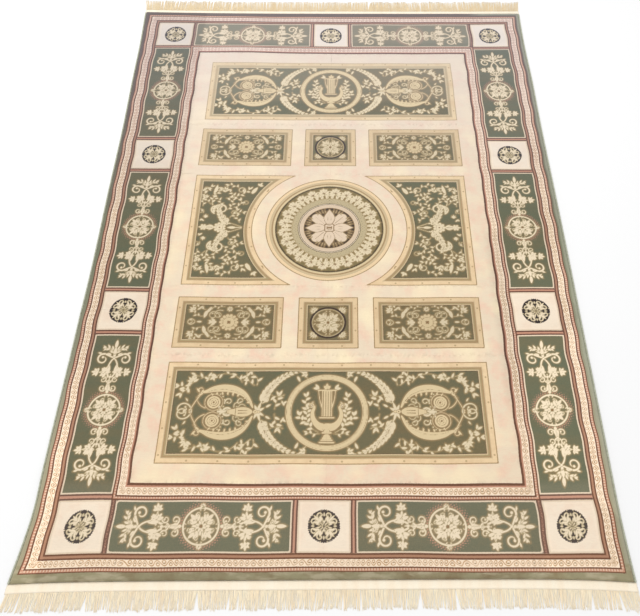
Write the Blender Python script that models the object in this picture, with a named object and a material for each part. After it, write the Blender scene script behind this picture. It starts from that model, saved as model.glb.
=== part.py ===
"""Persian rug: a cut-pile cloth with two overcast side edges and a fringe at each end.

Metres, +Z up. The rug lies on z = 0 with its length along Y and its width along X, and the origin
is under the middle of its box. Every piece is first placed on a flat plan, and lie() then carries
the plan onto the floor as the cloth lies: sides drawn in, corners flared and a few low ripples.
centre_on_floor() brings the finished box over the origin.
"""
import math

import bmesh
import bpy
import numpy as np

# The cloth's flat plan.
CLOTH_LEFT = -0.786
CLOTH_RIGHT = 0.791
CLOTH_FRONT = -1.128
CLOTH_BACK = 1.141
CLOTH_COLUMNS = 16
CLOTH_ROWS = 60
CLOTH_THICKNESS = 0.010
SHOULDER_DROP = 0.003
SHOULDER_INSET = 0.003

# The overcast edge that wraps each long side.
BINDING_WIDTH = 0.006
BINDING_HEIGHT = 0.006
BINDING_SIDES = 6
BINDING_SECTIONS = 44

# The woven end strip and the locks that hang from it.
STRIP_THICKNESS = 0.002
LOCKS_PER_END = 140
LOCK_SHARE = 0.70
LOCK_WIDTH_SPREAD = 0.15
LOCK_GAP_SPREAD = 0.25
LOCK_LENGTH_SPREAD = 0.06
FRONT_STRIP_WIDTH = 0.022
FRONT_LOCK_LENGTH = 0.051
BACK_STRIP_WIDTH = 0.020
BACK_LOCK_LENGTH = 0.074
LOCK_SEED = 41

# How far a lock leans in X for each metre of its length: at the ends, by chance, and in slow waves
# along the strip, each with its amount and its turns in radians for each half width of the rug.
LOCK_FLARE = 0.16
FLARE_POWER = 10
LEAN_SPREAD = 0.014
LEAN_BEND = 0.3
DRIFT_COLUMNS = ("amount", "turns")
LEAN_DRIFTS = (
    (0.050, 7.1),
    (0.035, 23.0),
)

# Where a piece ends and its neighbour begins.
CLEARANCE = 0.0005

# How the two long edges lie: the place along the length, then each edge's shift in X.
EDGE_COLUMNS = ("along", "left_shift", "right_shift")
EDGE_LINES = (
    (-1.220, -0.016, 0.003),
    (-1.140, -0.012, 0.000),
    (-1.070, -0.002, -0.003),
    (-0.990, 0.008, -0.005),
    (-0.750, 0.0105, -0.003),
    (-0.450, 0.013, -0.001),
    (-0.150, 0.0145, 0.002),
    (0.150, 0.011, 0.003),
    (0.450, 0.0095, 0.003),
    (0.750, 0.0025, 0.006),
    (0.950, -0.001, 0.005),
    (1.140, -0.009, 0.010),
    (1.230, -0.012, 0.014),
)
EDGE_POWER = 3

# How far each corner is pulled out along the length.
FRONT_LEFT_PULL = -0.006
FRONT_RIGHT_PULL = -0.010
BACK_LEFT_PULL = 0.009
BACK_RIGHT_PULL = 0.003
PULL_POWER = 6
BACK_PULL_POWER = 3

# Low ripples: the middle, the reach each way from it, and the lift at the top.
RIPPLE_COLUMNS = ("x", "y", "reach_x", "reach_y", "lift")
RIPPLES = (
    (-0.60, -0.86, 0.36, 0.090, 0.0060),
    (-0.66, -0.34, 0.24, 0.100, 0.0030),
    (0.62, -0.56, 0.28, 0.090, 0.0030),
    (-0.36, 0.88, 0.32, 0.095, 0.0050),
    (0.50, 0.70, 0.36, 0.110, 0.0050),
    (0.24, 1.00, 0.34, 0.080, 0.0030),
)

# A lock's sections out from the strip: the share of its length, of its width and of its height.
LOCK_COLUMNS = ("along", "width", "height")
LOCK_SECTIONS = (
    (0.62, 1.05, 1.30),
    (1.00, 0.50, 0.70),
)

PILE_COLOUR = (0.42, 0.37, 0.27, 1.0)
BINDING_COLOUR = (0.40, 0.45, 0.34, 1.0)
FRINGE_COLOUR = (0.88, 0.76, 0.53, 1.0)


def clear_objects():
    """Remove whatever the scene holds already."""
    for item in list(bpy.data.objects):
        bpy.data.objects.remove(item, do_unlink=True)


def column(table, columns, name):
    """One named column of a table, as an array."""
    return np.array([row[columns.index(name)] for row in table])


def smooth_table(along, places, values):
    """A smooth line through the table's points: cubic pieces whose slopes are those of the chords."""
    slopes = np.gradient(values, places)
    cell = np.clip(np.searchsorted(places, along) - 1, 0, len(places) - 2)
    span = places[cell + 1] - places[cell]
    t = np.clip((along - places[cell]) / span, 0.0, 1.0)
    start = (2 * t**3 - 3 * t**2 + 1) * values[cell] + (t**3 - 2 * t**2 + t) * span * slopes[cell]
    end = (3 * t**2 - 2 * t**3) * values[cell + 1] + (t**3 - t**2) * span * slopes[cell + 1]
    return start + end


def ripple_lift(x, y):
    """Height that the low ripples give to a place on the plan: a squared cosine each way."""
    lift = np.zeros(np.broadcast(x, y).shape)
    for middle_x, middle_y, reach_x, reach_y, height in RIPPLES:
        across = np.clip(np.abs(x - middle_x) / reach_x, 0.0, 1.0)
        along = np.clip(np.abs(y - middle_y) / reach_y, 0.0, 1.0)
        lift = lift + height * np.cos(across * math.pi / 2) ** 2 * np.cos(along * math.pi / 2) ** 2
    return lift


def lie(x, y):
    """Carry places on the flat plan to where the cloth lies: X, Y and the lift off the floor."""
    x = np.asarray(x, dtype=float)
    y = np.asarray(y, dtype=float)
    places = column(EDGE_LINES, EDGE_COLUMNS, "along")
    left = smooth_table(y, places, column(EDGE_LINES, EDGE_COLUMNS, "left_shift"))
    right = smooth_table(y, places, column(EDGE_LINES, EDGE_COLUMNS, "right_shift"))
    left_share = np.clip(x / CLOTH_LEFT, 0.0, None)
    right_share = np.clip(x / CLOTH_RIGHT, 0.0, None)
    shifted_x = x + left * left_share**EDGE_POWER + right * right_share**EDGE_POWER
    front_pull = FRONT_LEFT_PULL * left_share**PULL_POWER + FRONT_RIGHT_PULL * right_share**PULL_POWER
    back_pull = (BACK_LEFT_PULL * left_share**BACK_PULL_POWER
                 + BACK_RIGHT_PULL * right_share**BACK_PULL_POWER)
    front_share = np.clip(y / CLOTH_FRONT, 0.0, 1.0) ** PULL_POWER
    back_share = np.clip(y / CLOTH_BACK, 0.0, 1.0) ** PULL_POWER
    shifted_y = y + front_pull * front_share + back_pull * back_share
    return shifted_x, shifted_y, ripple_lift(x, y)


def principled(name, colour, roughness):
    """A Principled material of one colour."""
    material = bpy.data.materials.new(name)
    material.use_nodes = True
    shader = material.node_tree.nodes["Principled BSDF"]
    shader.inputs["Base Color"].default_value = colour
    shader.inputs["Roughness"].default_value = roughness
    shader.inputs["Metallic"].default_value = 0.0
    return material


def add_object(name, points, faces, material):
    """Make one closed object from points and faces, with its faces pointing out."""
    mesh = bpy.data.meshes.new(name)
    mesh.from_pydata([tuple(point) for point in points], [], faces)
    work = bmesh.new()
    work.from_mesh(mesh)
    bmesh.ops.triangulate(work, faces=work.faces[:])
    bmesh.ops.recalc_face_normals(work, faces=work.faces[:])
    work.to_mesh(mesh)
    work.free()
    mesh.materials.append(material)
    made = bpy.data.objects.new(name, mesh)
    bpy.context.scene.collection.objects.link(made)
    return made


def stacked_rings(rings):
    """Faces that join equal rings of points one after another, with both ends capped."""
    count = len(rings[0])
    faces = []
    for level in range(len(rings) - 1):
        for step in range(count):
            after = (step + 1) % count
            low = level * count
            high = low + count
            faces.append((low + step, low + after, high + after, high + step))
    faces.append(tuple(range(count - 1, -1, -1)))
    last = (len(rings) - 1) * count
    faces.append(tuple(range(last, last + count)))
    return faces


def cloth():
    """The pile cloth: one slab of even thickness whose upper edge is rounded by a small shoulder."""
    across = np.linspace(CLOTH_LEFT, CLOTH_RIGHT, CLOTH_COLUMNS + 1)
    along = np.linspace(CLOTH_FRONT, CLOTH_BACK, CLOTH_ROWS + 1)
    grid_x, grid_y = np.meshgrid(across, along)
    low_x, low_y, lift = lie(grid_x, grid_y)
    inner_x = np.clip(grid_x, CLOTH_LEFT + SHOULDER_INSET, CLOTH_RIGHT - SHOULDER_INSET)
    inner_y = np.clip(grid_y, CLOTH_FRONT + SHOULDER_INSET, CLOTH_BACK - SHOULDER_INSET)
    top_x, top_y, top_lift = lie(inner_x, inner_y)
    under = np.stack([low_x, low_y, lift], axis=-1).reshape(-1, 3)
    top = np.stack([top_x, top_y, top_lift + CLOTH_THICKNESS], axis=-1).reshape(-1, 3)
    wide = CLOTH_COLUMNS + 1
    rim = [step for step in range(wide)]
    rim += [row * wide + CLOTH_COLUMNS for row in range(1, CLOTH_ROWS + 1)]
    rim += [CLOTH_ROWS * wide + step for step in range(CLOTH_COLUMNS - 1, -1, -1)]
    rim += [row * wide for row in range(CLOTH_ROWS - 1, 0, -1)]
    shoulder = under[rim] + np.array([0.0, 0.0, CLOTH_THICKNESS - SHOULDER_DROP])
    points = np.concatenate([under, top, shoulder])
    top_start = len(under)
    shoulder_start = 2 * len(under)
    faces = []
    for row in range(CLOTH_ROWS):
        for step in range(CLOTH_COLUMNS):
            near = row * wide + step
            far = near + wide
            faces.append((near, far, far + 1, near + 1))
            faces.append((top_start + near, top_start + near + 1, top_start + far + 1, top_start + far))
    for step, place in enumerate(rim):
        after = (step + 1) % len(rim)
        faces.append((place, rim[after], shoulder_start + after, shoulder_start + step))
        faces.append((shoulder_start + step, shoulder_start + after,
                      top_start + rim[after], top_start + place))
    return add_object("pile_cloth", points, faces, principled("pile", PILE_COLOUR, 0.85))


def binding(name, edge, outward):
    """An overcast edge: a low bead carried along one long side, just clear of the cloth."""
    along = np.linspace(CLOTH_FRONT, CLOTH_BACK, BINDING_SECTIONS)
    middle = edge + outward * (CLEARANCE + BINDING_WIDTH / 2)
    turns = (np.arange(BINDING_SIDES) + 0.5) * 2 * math.pi / BINDING_SIDES
    reach = 1.0 / math.cos(math.pi / BINDING_SIDES)
    side = np.sin(turns) * BINDING_WIDTH / 2 * outward
    height = BINDING_HEIGHT / 2 * (1 + np.cos(turns) * reach)
    rings = []
    for place in along:
        x, y, lift = lie(middle + side, np.full(BINDING_SIDES, place))
        level = lie(np.array([edge]), np.array([place]))[2]
        rings.append(np.stack([x, y, level + height], axis=-1))
    return add_object(name, np.concatenate(rings), stacked_rings(rings),
                      principled(name, BINDING_COLOUR, 0.8))


def lock_leans(places, outward, wander):
    """Each lock's lean in X for a unit of length: flared ends, slow waves and a little by chance."""
    spread = np.clip(np.abs(places), 0.0, 1.0)
    leans = LOCK_FLARE * spread**FLARE_POWER * np.sign(places) + wander
    for order, (amount, turns) in enumerate(LEAN_DRIFTS, start=1):
        leans = leans + amount * np.sin(turns * places + order * outward)
    return leans


def fringe(name, edge, outward, strip_width, lock_length, seed):
    """A woven strip that lies along one end, and the locks of warp ends that leave it.

    The strip's outer side is cut into cells, wide and narrow by turns. Each wide cell is carried
    out along the floor as a four-sided lock, and each narrow one is closed where it stands.
    """
    chance = np.random.default_rng(seed)
    left = CLOTH_LEFT - BINDING_WIDTH
    right = CLOTH_RIGHT + BINDING_WIDTH
    cells = np.empty(2 * LOCKS_PER_END + 1)
    cells[0::2] = (1 - LOCK_SHARE) * (1 + LOCK_GAP_SPREAD * chance.uniform(-1, 1, LOCKS_PER_END + 1))
    cells[1::2] = LOCK_SHARE * (1 + LOCK_WIDTH_SPREAD * chance.uniform(-1, 1, LOCKS_PER_END))
    cuts = left + (right - left) * np.concatenate([[0.0], np.cumsum(cells)]) / cells.sum()
    inner_line = edge + outward * CLEARANCE
    outer_line = inner_line + outward * strip_width
    inner_x, inner_y, _ = lie(cuts, np.full(len(cuts), inner_line))
    outer_x, outer_y, _ = lie(cuts, np.full(len(cuts), outer_line))
    floor = np.zeros(len(cuts))
    roof = floor + STRIP_THICKNESS
    rows = [(inner_x, inner_y, floor), (inner_x, inner_y, roof),
            (outer_x, outer_y, floor), (outer_x, outer_y, roof)]
    points = [np.stack(row, axis=-1) for row in rows]
    count = len(cuts)
    under_in, top_in, under_out, top_out = (step * count for step in range(4))
    faces = [(under_in, under_out, top_out, top_in)]
    faces.append((top_in + count - 1, top_out + count - 1, under_out + count - 1, under_in + count - 1))
    for cell in range(count - 1):
        after = cell + 1
        faces.append((top_in + cell, top_out + cell, top_out + after, top_in + after))
        faces.append((under_in + cell, under_in + after, under_out + after, under_out + cell))
        faces.append((under_in + cell, top_in + cell, top_in + after, under_in + after))
        if cell % 2 == 0:
            faces.append((under_out + cell, under_out + after, top_out + after, top_out + cell))
    roots_low = np.stack([outer_x[1:-1:2], outer_y[1:-1:2]], axis=-1)
    roots_high = np.stack([outer_x[2::2], outer_y[2::2]], axis=-1)
    middle = (roots_low + roots_high) / 2
    half = (roots_high[:, 0] - roots_low[:, 0]) / 2
    share = middle[:, 0] / CLOTH_RIGHT
    lean = lock_leans(share, outward, chance.normal(0.0, LEAN_SPREAD, LOCKS_PER_END))
    length = lock_length * (1 - LOCK_LENGTH_SPREAD * chance.uniform(0, 2, LOCKS_PER_END))
    start = 4 * count
    previous = np.stack([under_out + np.arange(1, count - 1, 2), under_out + np.arange(2, count, 2),
                         top_out + np.arange(2, count, 2), top_out + np.arange(1, count - 1, 2)])
    for along, width, height in LOCK_SECTIONS:
        centre_x = middle[:, 0] + lean * length * along * (1 - LEAN_BEND + LEAN_BEND * along)
        centre_y = middle[:, 1] + outward * length * along
        apart = np.diff(centre_x)
        before = np.concatenate([apart[:1], apart])
        after = np.concatenate([apart, apart[-1:]])
        room = np.minimum(before, after) / 2 - CLEARANCE
        reach = np.minimum(half * width, room)
        top = np.full(LOCKS_PER_END, STRIP_THICKNESS * height)
        low = np.zeros(LOCKS_PER_END)
        corners = [(centre_x - reach, low), (centre_x + reach, low),
                   (centre_x + reach, top), (centre_x - reach, top)]
        points += [np.stack([x, centre_y, z], axis=-1) for x, z in corners]
        current = np.stack([start + side * LOCKS_PER_END + np.arange(LOCKS_PER_END) for side in range(4)])
        for side in range(4):
            turn = (side + 1) % 4
            faces += list(zip(previous[side], previous[turn], current[turn], current[side]))
        start += 4 * LOCKS_PER_END
        previous = current
    faces += list(zip(*previous))
    faces = [tuple(int(corner) for corner in face) for face in faces]
    return add_object(name, np.concatenate(points), faces, principled(name, FRINGE_COLOUR, 0.8))


def mesh_points(piece):
    """A piece's points as an array of rows."""
    values = np.empty(3 * len(piece.data.vertices))
    piece.data.vertices.foreach_get("co", values)
    return values.reshape(-1, 3)


def centre_on_floor(pieces):
    """Bring the middle of the pieces' joint box over the origin, with the floor left where it is."""
    everything = np.concatenate([mesh_points(piece) for piece in pieces])
    middle = (everything.min(axis=0) + everything.max(axis=0)) / 2
    middle[2] = 0.0
    for piece in pieces:
        piece.data.vertices.foreach_set("co", (mesh_points(piece) - middle).ravel())
        piece.data.update()


def main():
    """Build the rug's five pieces."""
    clear_objects()
    pieces = [
        cloth(),
        binding("binding_left", CLOTH_LEFT, -1.0),
        binding("binding_right", CLOTH_RIGHT, 1.0),
        fringe("fringe_front", CLOTH_FRONT, -1.0, FRONT_STRIP_WIDTH, FRONT_LOCK_LENGTH, LOCK_SEED),
        fringe("fringe_back", CLOTH_BACK, 1.0, BACK_STRIP_WIDTH, BACK_LOCK_LENGTH, LOCK_SEED + 1),
    ]
    centre_on_floor(pieces)


main()
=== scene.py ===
"""Looks of a knotted rug with a medallion, framed panels, a cartouche border and fringed ends."""

from __future__ import annotations

import logging
import math
from collections.abc import Callable
from dataclasses import dataclass, field, replace
from enum import Enum

import bpy
import numpy as np
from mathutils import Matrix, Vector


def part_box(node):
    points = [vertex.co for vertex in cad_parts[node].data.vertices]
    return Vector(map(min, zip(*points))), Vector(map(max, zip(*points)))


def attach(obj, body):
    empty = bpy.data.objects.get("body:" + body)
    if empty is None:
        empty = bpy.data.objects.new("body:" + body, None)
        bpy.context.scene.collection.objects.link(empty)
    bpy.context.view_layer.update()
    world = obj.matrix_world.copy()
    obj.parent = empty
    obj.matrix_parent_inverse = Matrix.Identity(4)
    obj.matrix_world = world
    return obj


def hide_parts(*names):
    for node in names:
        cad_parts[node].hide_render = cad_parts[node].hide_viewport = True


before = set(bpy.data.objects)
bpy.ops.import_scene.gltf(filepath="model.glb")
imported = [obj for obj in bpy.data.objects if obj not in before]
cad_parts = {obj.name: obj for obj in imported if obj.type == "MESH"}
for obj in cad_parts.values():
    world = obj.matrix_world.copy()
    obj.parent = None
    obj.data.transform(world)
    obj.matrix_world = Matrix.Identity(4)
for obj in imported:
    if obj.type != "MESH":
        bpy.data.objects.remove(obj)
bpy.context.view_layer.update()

logging.basicConfig(level=logging.INFO, format="%(message)s")
LOG = logging.getLogger("rug")

Array = np.ndarray
Place = tuple[float, float]
Colour = tuple[float, float, float]
Table = tuple[float, ...]
Socket = bpy.types.NodeSocket
Material = bpy.types.Material
Piece = bpy.types.Object

MM = 0.001

# Sizes of the cloth as it was cut, in metres.
CLOTH_LEFT = -0.786
CLOTH_RIGHT = 0.791
CLOTH_FRONT = -1.128
CLOTH_BACK = 1.141
CLOTH_THICKNESS = 0.010

# The woven stripes from the field to the rug's edge, in millimetres from the middle.
STRIPE_SIDES = (0.0, 534.7, 541.0, 546.0, 565.0, 569.8, 574.7, 579.5, 583.7, 722.2, 726.5, 731.0,
                735.5, 740.0, 760.0, 764.5, 770.5, 774.5, 800.0)
STRIPE_ENDS = (0.0, 881.3, 888.0, 893.6, 915.0, 919.8, 924.6, 929.4, 933.0, 1060.0, 1064.3, 1069.0,
               1074.0, 1078.6, 1098.0, 1101.8, 1107.7, 1111.4, 1150.0)
FIELD_SIDE, FIELD_END = STRIPE_SIDES[1], STRIPE_ENDS[1]
OUTER_SIDE = STRIPE_SIDES[-2]
BAND_SIDES = (579.5, 726.5)
BAND_ENDS = (929.4, 1064.3)
SIDE_CELLS = ((-246.5, 246.5), (262.0, 402.5), (418.0, 913.0))
END_CELLS = ((-69.5, 69.5), (84.5, 565.0))

# Framed panels of the field: their outer half widths and the places they span along the rug.
PANEL_SIDE = 476.3
BIG_PANEL = (509.7, 825.8)
SMALL_PANEL = (279.0, 462.4)
SMALL_START = 140.0
SQUARE_SIDE = 93.0
CENTRE_REACH = 233.6
ARC_RADIUS = 261.0


class Yarn(Enum):
    """The yarns that draw figures on the ground, in the order they are laid."""

    ROSE = 0
    INK = 1
    PALE = 2
    GOLD = 3
    SHADE = 4


# ---- drawing


@dataclass(frozen=True)
class Stroke:
    """One line of yarn: the points of its middle and the reach each side of them, in millimetres."""

    yarn: Yarn
    line: Array
    reach: Array


@dataclass(frozen=True)
class Drawing:
    """A handful of strokes that can be moved, turned, scaled and mirrored together."""

    strokes: tuple[Stroke, ...] = ()

    def __add__(self, other: Drawing) -> Drawing:
        """Both drawings as one."""
        return Drawing(self.strokes + other.strokes)

    def carried(self, matrix: Array, size: float = 1.0) -> Drawing:
        """Every point multiplied by a 2 by 2 matrix, and every reach by a size."""
        return Drawing(tuple(Stroke(s.yarn, s.line @ matrix, s.reach * size) for s in self.strokes))

    def moved(self, across: float, along: float) -> Drawing:
        """The drawing moved by millimetres."""
        step = np.array([across, along], dtype=float)
        return Drawing(tuple(Stroke(s.yarn, s.line + step, s.reach) for s in self.strokes))

    def turned(self, degrees: float) -> Drawing:
        """The drawing turned anticlockwise about the origin."""
        c, s = math.cos(math.radians(degrees)), math.sin(math.radians(degrees))
        return self.carried(np.array([[c, s], [-s, c]]))

    def scaled(self, size: float) -> Drawing:
        """The drawing made larger or smaller about the origin."""
        return self.carried(np.eye(2) * size, size)

    def mirrored_along(self) -> Drawing:
        """The drawing and its mirror image over the first axis."""
        return self + self.carried(np.diag([1.0, -1.0]))

    def mirrored_across(self) -> Drawing:
        """The drawing and its mirror image over the second axis."""
        return self + self.carried(np.diag([-1.0, 1.0]))

    def repeated(self, count: int) -> Drawing:
        """The drawing repeated by equal turns about the origin."""
        return Drawing(tuple(s for order in range(count) for s in self.turned(360 / count * order).strokes))


def cubic(t: Array, low: Array, high: Array, low_slope: Array, high_slope: Array) -> Array:
    """The cubic from low to high with a slope at each end, at shares t of the way between them."""
    return ((2 * t**3 - 3 * t**2 + 1) * low + (t**3 - 2 * t**2 + t) * low_slope
            + (3 * t**2 - 2 * t**3) * high + (t**3 - t**2) * high_slope)


def curl(start: Place, heading: float, length: float, turn: float = 0.0, tighten: float = 1.0,
         steps: int = 0) -> Array:
    """Draw a line whose bend grows evenly from one end to the other.

    The heading at a share s of the length is heading + a*s + a*(k - 1)*s^2/2 degrees, where k is how
    many times sharper the end bends than the start and a is set so that the whole turn is as asked.

    Args:
        start: First point.
        heading: Direction at the start in degrees.
        length: Length of the line.
        turn: Degrees turned over the length.
        tighten: Bend at the end over bend at the start.
        steps: Number of points, or 0 to choose by the turn.

    Returns:
        Rows of points.
    """
    steps = steps or int(6 + abs(turn) / 16)
    share = np.linspace(0.0, 1.0, steps)
    first = 2.0 * turn / (1.0 + tighten)
    angle = np.radians(heading + first * share + first * (tighten - 1.0) * share**2 / 2.0)
    middle = (angle[1:] + angle[:-1]) / 2
    step = length / (steps - 1)
    x = start[0] + np.concatenate([[0.0], np.cumsum(np.cos(middle)) * step])
    y = start[1] + np.concatenate([[0.0], np.cumsum(np.sin(middle)) * step])
    return np.stack([x, y], axis=-1)


def stem(yarn: Yarn, line: Array | list[Place], thick: float, thin: float) -> Drawing:
    """A line that narrows evenly from thick to thin."""
    points = np.asarray(line, dtype=float)
    return Drawing((Stroke(yarn, points, np.linspace(thick, thin, len(points))),))


def bar(yarn: Yarn, start: Place, end: Place, thick: float, thin: float | None = None) -> Drawing:
    """A straight line from thick to thin, or even where no thin end is given."""
    return stem(yarn, [start, end], thick, thick if thin is None else thin)


def swell(yarn: Yarn, rows: list[tuple[float, float, float]]) -> Drawing:
    """A smooth line through rows of across, along and reach.

    Args:
        yarn: Yarn of the line.
        rows: Across, along and reach at each point.

    Returns:
        The line with three points put between each two by cubics whose slopes are the chords'.
    """
    table = np.asarray(rows, dtype=float)
    slopes = np.gradient(table, axis=0)
    place = np.linspace(0.0, len(table) - 1.0, 4 * len(table) - 3)
    cell = np.minimum(place.astype(int), len(table) - 2)
    fine = cubic((place - cell)[:, None], table[cell], table[cell + 1], slopes[cell], slopes[cell + 1])
    return Drawing((Stroke(yarn, fine[:, :2], np.maximum(fine[:, 2], 0.2)),))


def dot(yarn: Yarn, place: Place, radius: float) -> Drawing:
    """A filled disc."""
    return bar(yarn, place, (place[0] + 0.01, place[1]), radius)


def ring(yarn: Yarn, radius: float, reach: float, place: Place = (0.0, 0.0)) -> Drawing:
    """A circle drawn with an even line."""
    turn = np.linspace(0.0, 2 * math.pi, int(24 + radius))
    return stem(yarn, np.stack([place[0] + radius * np.cos(turn), place[1] + radius * np.sin(turn)],
                               axis=-1), reach, reach)


def leaf(yarn: Yarn, base: Place, heading: float, length: float, width: float,
         bend: float = 0.0) -> Drawing:
    """A pointed leaf that leaves a place in a direction and may bend on its way."""
    reach = width / 2 * np.sin(math.pi * np.linspace(0.0, 1.0, 7) ** 0.75) ** 0.8
    return Drawing((Stroke(yarn, curl(base, heading, length, bend, 1.0, 7), reach),))


def volute(yarn: Yarn, start: Place, heading: float, length: float, turn: float,
           tighten: float = 4.0, thick: float = 2.4, thin: float = 1.5, knob: float = 3.0) -> Drawing:
    """A spiral scroll that ends in a knob."""
    line = curl(start, heading, length, turn, tighten)
    return stem(yarn, line, thick, thin) + dot(yarn, tuple(line[-1]), knob)


def scroll(yarn: Yarn, middle: Place, radius: float, start: float, turn: float, thick: float,
           thin: float, knob: float, lead: tuple[Place, ...]) -> Drawing:
    """A spiral about a middle, with a stem that leads into it.

    The radius falls from its full value to a third of it while the line turns.

    Args:
        yarn: Yarn of the scroll.
        middle: The spiral's middle.
        radius: Radius where the spiral starts.
        start: Direction from the middle to the start, in degrees.
        turn: Degrees that the spiral turns, anticlockwise above 0.
        thick: Reach at the start.
        thin: Reach at the end.
        knob: Radius of the knob at the end.
        lead: Points of the stem before the start.

    Returns:
        The scroll.
    """
    share = np.linspace(0.0, 1.0, int(8 + abs(turn) / 18))
    angle = np.radians(start + turn * share)
    away = radius * (1.0 - 0.66 * share**1.15)
    spiral = np.stack([middle[0] + away * np.cos(angle), middle[1] + away * np.sin(angle)], axis=-1)
    rows = [(*place, thick * 0.8) for place in lead] + [(*spiral[0], thick)]
    return stem(yarn, spiral, thick, thin) + dot(yarn, tuple(spiral[-1]), knob) + swell(yarn, rows)


def fan(yarn: Yarn, base: Place, heading: float, spread: float, count: int, length: float,
        width: float) -> Drawing:
    """Leaves spread evenly about a heading, the outer ones up to a quarter shorter."""
    return each(leaf, yarn, *((base, heading + turn, length * (1 - 0.25 * abs(turn) / spread), width)
                              for turn in np.linspace(-spread, spread, count)))


def stops_along(line: Array, shares: Array) -> Array:
    """Places and headings at shares of a line's length.

    Args:
        line: Rows of points.
        shares: Shares of the length from 0 to 1.

    Returns:
        Rows of across, along and heading in degrees.
    """
    gaps = np.hypot(*np.diff(line, axis=0).T)
    places = np.concatenate([[0.0], np.cumsum(gaps)]) / gaps.sum()
    step = np.gradient(line, axis=0)
    heading = np.degrees(np.unwrap(np.arctan2(step[:, 1], step[:, 0])))
    return np.stack([np.interp(shares, places, v) for v in (line[:, 0], line[:, 1], heading)], axis=-1)


def vine(yarn: Yarn, start: Place, heading: float, length: float, turn: float, tighten: float,
         count: int, leaf_length: float, leaf_width: float, thick: float = 1.5,
         first: float = 0.12) -> Drawing:
    """A thin stem with leaves by turns on its two sides and one leaf at its tip.

    Args:
        yarn: Yarn of the vine.
        start: First point of the stem.
        heading: Direction at the start in degrees.
        length: Length of the stem.
        turn: Degrees turned over the length.
        tighten: Bend at the end over bend at the start.
        count: Number of side leaves.
        leaf_length: Length of a leaf.
        leaf_width: Width of a leaf.
        thick: Reach of the stem at its start.
        first: Share of the length at the first leaf.

    Returns:
        The vine.
    """
    line = curl(start, heading, length, turn, tighten)
    made = stem(yarn, line, thick, 1.0)
    for order, (x, y, way) in enumerate(stops_along(line, np.linspace(first, 0.96, count))):
        side = (-1) ** order
        made += leaf(yarn, (x, y), way + side * 46, leaf_length, leaf_width, side * 14)
    x, y, way = stops_along(line, np.array([1.0]))[0]
    return made + leaf(yarn, (x, y), way, leaf_length, leaf_width)


def plume(yarn: Yarn, line: Array, count: int, first: float, last: float, spine: float) -> Drawing:
    """A lobed acanthus: leaves overlap down both sides of a line, with darker veins.

    Args:
        yarn: Yarn of the leaves.
        line: Rows of points.
        count: Leaves of a side.
        first: Length of the first leaves.
        last: Length of the last leaves.
        spine: Reach of the spine at its start.

    Returns:
        The plume.
    """
    made, veins = stem(yarn, line, spine, 1.2), Drawing()
    stops = stops_along(line, np.linspace(0.0, 0.93, count))
    for size, (x, y, heading) in zip(np.linspace(first, last, count), stops):
        for side in (-1, 1):
            made += leaf(yarn, (x, y), heading + side * 38, size, size * 0.52, side * -22)
            veins += stem(Yarn.SHADE, curl((x, y), heading + side * 30, size * 0.7, side * -16, 1.0, 4),
                          0.8, 0.35)
    x, y, heading = stops_along(line, np.array([1.0]))[0]
    return made + leaf(yarn, (x, y), heading, last * 1.4, last * 0.5) + veins


def bloom(yarn: Yarn, radius: float, petals: int) -> Drawing:
    """A full-blown flower: round petals about a solid heart."""
    petal = dot(yarn, (radius * 0.74, 0.0), radius * math.pi / petals * 0.74)
    return dot(yarn, (0.0, 0.0), radius * 0.72) + petal.repeated(petals)


def each(figure: Callable[..., Drawing], yarn: Yarn, *rows: tuple) -> Drawing:
    """One kind of figure drawn once for every row of its measures."""
    return sum((figure(yarn, *row) for row in rows), Drawing())


# ---- ornament


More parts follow.
